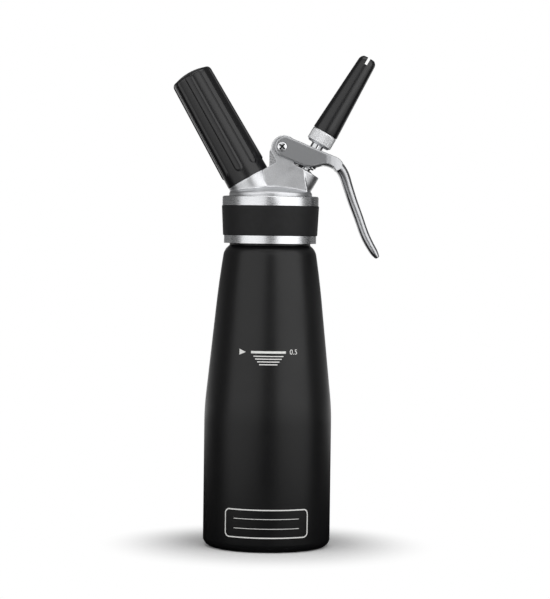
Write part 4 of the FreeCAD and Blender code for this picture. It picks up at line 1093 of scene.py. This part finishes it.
class DISPENSER_OT_nozzle(bpy.types.Operator):
    """Make the knurled collar and the slotted nozzle"""

    bl_idname = "dispenser.nozzle"
    bl_label = "Collar and nozzle"

    def execute(self, context):
        settings = context.scene.dispenser_finish
        collar = [(4.7, 57.1), (6.55, 57.1), (7.75, 58.4), (7.75, 65.6), (6.0, 65.7)]
        collar += [(6.0, 72.7), (3.2, 72.7), (3.2, 65.9), (4.7, 65.9)]
        points = fill_in(soften(collar, 0.2, closed=True), 0.5)

        def knurl(radius, height):
            on_skin = radius > 7.4 and 58.3 < height < 65.3
            return (0.42, 0.2) if on_skin else (0.42, 0.0)

        teeth = settings.knurl_teeth
        style = {"steps": teeth * 8, "ribs": knurl, "count": teeth, "edge": 0.4}
        thing = turned_piece("knurled_collar", points, finish_of("knurled"), "nozzle", **style)
        finish_piece(thing, "nozzle", "nozzle_collar")
        outside = [(6.02, 65.75), (8.1, 65.75), (5.6, 115.35)] + arc((5.6, 115.35), (3.6, 118.35), 4.0, 8)
        inside = [(3.2, 118.35), (3.2, 109.1), (4.6, 74.7), (4.6, 72.75), (6.02, 72.75)]
        points = fill_in(soften(outside + inside, 0.3, closed=True), 4.0)
        thing = turned_piece("slotted_nozzle", points, finish_of("plastic"), "nozzle", steps=96)
        for turn in (0, math.pi / 2):
            matrix = lean_matrix("nozzle") @ Matrix.Rotation(turn, 4, "Z")
            cut_with(thing, block("slot", (-0.8, -12, 113.75), (0.8, 12, 121), matrix), "DIFFERENCE")
        smooth_by_angle(thing, 40)
        finish_piece(thing, "nozzle", "nozzle_tip", finish_of("plastic"))
        return {"FINISHED"}


def make_screw():
    """The pan-head screw with a cross recess, lying along Y."""
    half = 13.7
    head = [(0.0, -half - 0.6)] + arc((0.0, -half - 0.6), (2.8, -half - 0.15), 9.0, 8)
    shank = [(2.95, -half + 0.1), (2.8, -half + 0.9), (1.9, -half + 0.9)]
    shank += [(1.9, half - 1.0), (0.0, half - 1.0)]
    points = soften(head + shank, 0.15)
    thing = turned_piece("cross_head_screw", points, finish_of("screw"), steps=64, closed=False)
    for turn in (0.7, 0.7 + math.pi / 2):
        matrix = Matrix.Rotation(turn, 4, "Z")
        matrix = Matrix.Scale(MM, 4) @ matrix
        shape = block("recess", (-2.2, -0.5, -half - 2.0), (2.2, 0.5, -half + 0.95), matrix)
        cut_with(thing, shape, "DIFFERENCE")
    place = Matrix.Translation((PIVOT[0] * MM, 0, PIVOT[1] * MM)) @ Matrix.Rotation(-math.pi / 2, 4, "X")
    thing.data.transform(place)
    smooth_by_angle(thing, 40)
    return thing


class DISPENSER_OT_lever(bpy.types.Operator):
    """Make the polished lever and the screw of its pivot"""

    bl_idname = "dispenser.lever"
    bl_label = "Lever"

    def execute(self, context):
        finish_piece(make_lever(), "lever", "lever", finish_of("lever"))
        finish_piece(make_screw(), "head", "pivot_screw", finish_of("screw"))
        return {"FINISHED"}


class DISPENSER_OT_small_parts(bpy.types.Operator):
    """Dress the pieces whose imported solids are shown: pivot, stem, spring, seals and charger"""

    bl_idname = "dispenser.small_parts"
    bl_label = "Small parts"

    def execute(self, context):
        finishes = {
            "pivot_sleeve": "steel",
            "valve_stem": "steel",
            "valve_spring": "steel",
            "valve_foot_nut": "steel",
            "piercing_pin": "steel",
            "holder_insert": "turned",
            "gas_charger": "charger_steel",
            "pin_carrier": "brass",
            "stem_guide": "white_plastic",
            "head_gasket": "gasket",
            "valve_seal": "seal",
            "nozzle_seal": "seal",
            "charger_seal": "seal",
            "check_valve_ring": "seal",
            "pin_o_ring": "seal",
            "stem_o_ring": "seal",
        }
        for node, finish in finishes.items():
            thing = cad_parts[node]
            for slot in thing.material_slots:
                slot.material = finish_of(finish)
        return {"FINISHED"}


class DISPENSER_OT_stage(bpy.types.Operator):
    """Set the floor, the backdrop, the lamps and the camera"""

    bl_idname = "dispenser.stage"
    bl_label = "Stage"

    def execute(self, context):
        make_floor()
        make_lamps()
        make_world()
        make_camera()
        context.scene.view_settings.view_transform = "Standard"
        return {"FINISHED"}


def floor_finish():
    """Matte white paper: it keeps the soft shadow near the object and shows plain white further out."""
    material, tree, shader = new_material("white_paper", "#f1f1f1", 0.0, 0.85)
    grain_inputs = {"Vector": object_point(tree), "Scale": 0.3, "Detail": 2.0, "Roughness": 0.5}
    grain = add_node(tree, "ShaderNodeTexNoise", grain_inputs).outputs["Fac"]
    vary(tree, shader, grain, colours=("#efefef", "#f3f3f3"))
    place = add_node(tree, "ShaderNodeSeparateXYZ", {0: object_point(tree)})
    flat = add_node(tree, "ShaderNodeCombineXYZ", {0: place.outputs["X"], 1: place.outputs["Y"]})
    away = add_node(tree, "ShaderNodeVectorMath", {0: flat.outputs[0]}, operation="LENGTH").outputs["Value"]
    aside = add_node(tree, "ShaderNodeMath", {0: place.outputs["X"]}, operation="ABSOLUTE")
    # Each mask runs softly from a low to a high share, over a stretch of the floor in millimetres
    masks = []
    for measure, start, stop, low, high in (
        (away, 40.0, 105.0, 0.0, 1.0),
        (place.outputs["Y"], 300.0, 1200.0, 0.0, 1.0),
        (aside, 60.0, 330.0, 0.06, 0.85),
        (place.outputs["Y"], -180.0, -10.0, 1.0, 0.05),
    ):
        limits = {"Value": measure, "From Min": start, "From Max": stop, "To Min": low, "To Max": high}
        masks.append(add_node(tree, "ShaderNodeMapRange", limits, interpolation_type="SMOOTHSTEP"))
    far, behind, beside, before = masks
    near_side = add_node(tree, "ShaderNodeMath", {0: beside, 1: before}, operation="MULTIPLY")
    glow = add_node(tree, "ShaderNodeMath", {0: behind, 1: near_side}, operation="MAXIMUM")
    rays = add_node(tree, "ShaderNodeLightPath").outputs
    either = {0: rays["Is Glossy Ray"], 1: rays["Is Transmission Ray"]}
    mirrored = add_node(tree, "ShaderNodeMath", either, operation="MAXIMUM")
    white = add_node(tree, "ShaderNodeEmission", {"Color": (1, 1, 1, 1), "Strength": 1.0})
    dim = add_node(tree, "ShaderNodeEmission", {"Color": (1, 1, 1, 1), "Strength": glow})
    share = add_node(tree, "ShaderNodeMath", {0: far, 1: rays["Is Camera Ray"]}, operation="MULTIPLY")
    seen = add_node(tree, "ShaderNodeMixShader", {0: share, 1: shader.outputs[0], 2: white.outputs[0]})
    mix = add_node(tree, "ShaderNodeMixShader", {0: mirrored, 1: seen.outputs[0], 2: dim.outputs[0]})
    output = next(item for item in tree.nodes if item.type == "OUTPUT_MATERIAL")
    tree.links.new(mix.outputs[0], output.inputs["Surface"])
    return material


def make_floor():
    """A pale floor that shows plain white to the camera but keeps the object's shadow."""
    shape = bmesh.new()
    bmesh.ops.create_grid(shape, x_segments=1, y_segments=1, size=3.0)
    thing = new_object("pale_floor", mesh_of(shape, "pale_floor"))
    thing.data.materials.append(floor_finish())


def make_lamps():
    """Two tall soft boxes on both sides of the camera, with a narrow dark gap between them, and one above."""
    lamps = (
        ("left_soft_box", -43, 0.75, 0.50, (1.12, 0.95), 1.15),
        ("right_soft_box", 48, 0.75, 0.50, (1.08, 0.95), 1.6),
        ("top_soft_box", 0, 0.15, 1.25, (0.9, 0.7), 2.0),
    )
    for name, azimuth, distance, height, area, radiance in lamps:
        light = bpy.data.lights.new(name, "AREA")
        light.shape = "RECTANGLE"
        light.size, light.size_y = area
        light.energy = math.pi * area[0] * area[1] * radiance
        lamp = bpy.data.objects.new(name, light)
        turn = math.radians(azimuth)
        lamp.location = (distance * math.sin(turn), -distance * math.cos(turn), height)
        lamp.rotation_euler = (Vector((0, 0, 0.2)) - lamp.location).to_track_quat("-Z", "Y").to_euler()
        lamp.visible_camera = False
        bpy.context.scene.collection.objects.link(lamp)


def make_world():
    """White to the camera, white straight behind for reflections, and a dim room all round."""
    world = bpy.data.worlds.new("studio")
    bpy.context.scene.world = world
    world.use_nodes = True
    tree = world.node_tree
    tree.nodes.clear()
    rays = add_node(tree, "ShaderNodeLightPath").outputs
    direction = add_node(tree, "ShaderNodeTexCoord").outputs["Generated"]
    way = add_node(tree, "ShaderNodeSeparateXYZ", {0: direction}).outputs["Y"]
    limits = {"Value": way, "From Min": 0.93, "From Max": 0.995}
    behind = add_node(tree, "ShaderNodeMapRange", limits, interpolation_type="SMOOTHSTEP")
    either = {0: rays["Is Glossy Ray"], 1: rays["Is Transmission Ray"]}
    seen = add_node(tree, "ShaderNodeMath", either, operation="MAXIMUM")
    mirrored = add_node(tree, "ShaderNodeMath", {0: behind, 1: seen}, operation="MULTIPLY")
    share = add_node(tree, "ShaderNodeMath", {0: mirrored, 1: rays["Is Camera Ray"]}, operation="MAXIMUM")
    room = add_node(tree, "ShaderNodeBackground", {"Color": (1, 1, 1, 1), "Strength": 0.13})
    white = add_node(tree, "ShaderNodeBackground", {"Color": (1, 1, 1, 1), "Strength": 1.0})
    mix = add_node(tree, "ShaderNodeMixShader", {0: share, 1: room.outputs[0], 2: white.outputs[0]})
    add_node(tree, "ShaderNodeOutputWorld", {"Surface": mix.outputs[0]})


FRAME_WIDTH = 550
FRAME_HEIGHT = 599
PIXELS_PER_MM = 1.631
FOCAL_PIXELS = 2240.0
EYE_ROW = 225.0
BASE_PIXEL = (266.05, 545.9)
ROLL = math.radians(0.75)


def make_camera():
    """A long lens, level with the head, at the photograph's distance and slight roll."""
    data = bpy.data.cameras.new("camera")
    camera = bpy.data.objects.new("camera", data)
    distance = FOCAL_PIXELS / PIXELS_PER_MM * MM
    data.sensor_fit = "VERTICAL"
    data.sensor_height = 24.0
    data.lens = data.sensor_height * FOCAL_PIXELS / FRAME_HEIGHT
    middle_row = FRAME_HEIGHT / 2
    lean = math.tan(ROLL)
    aim_z = (BASE_PIXEL[1] - middle_row) / PIXELS_PER_MM * MM
    aim_column = FRAME_WIDTH / 2 - BASE_PIXEL[0] - lean * (BASE_PIXEL[1] - middle_row)
    aim_x = aim_column / PIXELS_PER_MM * MM
    eye_z = (BASE_PIXEL[1] - EYE_ROW) / PIXELS_PER_MM * MM
    camera.location = (aim_x, -distance, eye_z)
    look = Vector((aim_x, 0, aim_z)) - camera.location
    level = look.to_track_quat("-Z", "Y").to_matrix().to_4x4()
    camera.rotation_euler = (level @ Matrix.Rotation(ROLL, 4, "Z")).to_euler()
    data.dof.use_dof = False
    bpy.context.scene.collection.objects.link(camera)
    bpy.context.scene.camera = camera


class DISPENSER_PT_panel(bpy.types.Panel):
    """The sidebar panel with the settings and one button for each group of pieces"""

    bl_idname = "DISPENSER_PT_panel"
    bl_label = "Dispenser"
    bl_space_type = "VIEW_3D"
    bl_region_type = "UI"
    bl_category = "Dispenser"

    def draw(self, context):
        settings = context.scene.dispenser_finish
        for name in ("coat_dark", "coat_light", "rib_height", "knurl_teeth"):
            self.layout.prop(settings, name)
        for piece in PIECES:
            self.layout.operator(piece.bl_idname)


PIECES = (
    DISPENSER_OT_stage,
    DISPENSER_OT_bottle,
    DISPENSER_OT_head,
    DISPENSER_OT_holder,
    DISPENSER_OT_nozzle,
    DISPENSER_OT_lever,
    DISPENSER_OT_small_parts,
)
CLASSES = (DispenserFinish, *PIECES, DISPENSER_PT_panel)


def register():
    """Add the classes, and the settings to the scene."""
    for item in CLASSES:
        bpy.utils.register_class(item)
    bpy.types.Scene.dispenser_finish = bpy.props.PointerProperty(type=DispenserFinish)


def unregister():
    """Take the settings and the classes away again."""
    del bpy.types.Scene.dispenser_finish
    for item in reversed(CLASSES):
        bpy.utils.unregister_class(item)


def main():
    """Make every piece and the stage."""
    register()
    bpy.ops.dispenser.stage()
    bpy.ops.dispenser.bottle()
    bpy.ops.dispenser.head()
    bpy.ops.dispenser.holder()
    bpy.ops.dispenser.nozzle()
    bpy.ops.dispenser.lever()
    bpy.ops.dispenser.small_parts()


if __name__ == "__main__":
    main()
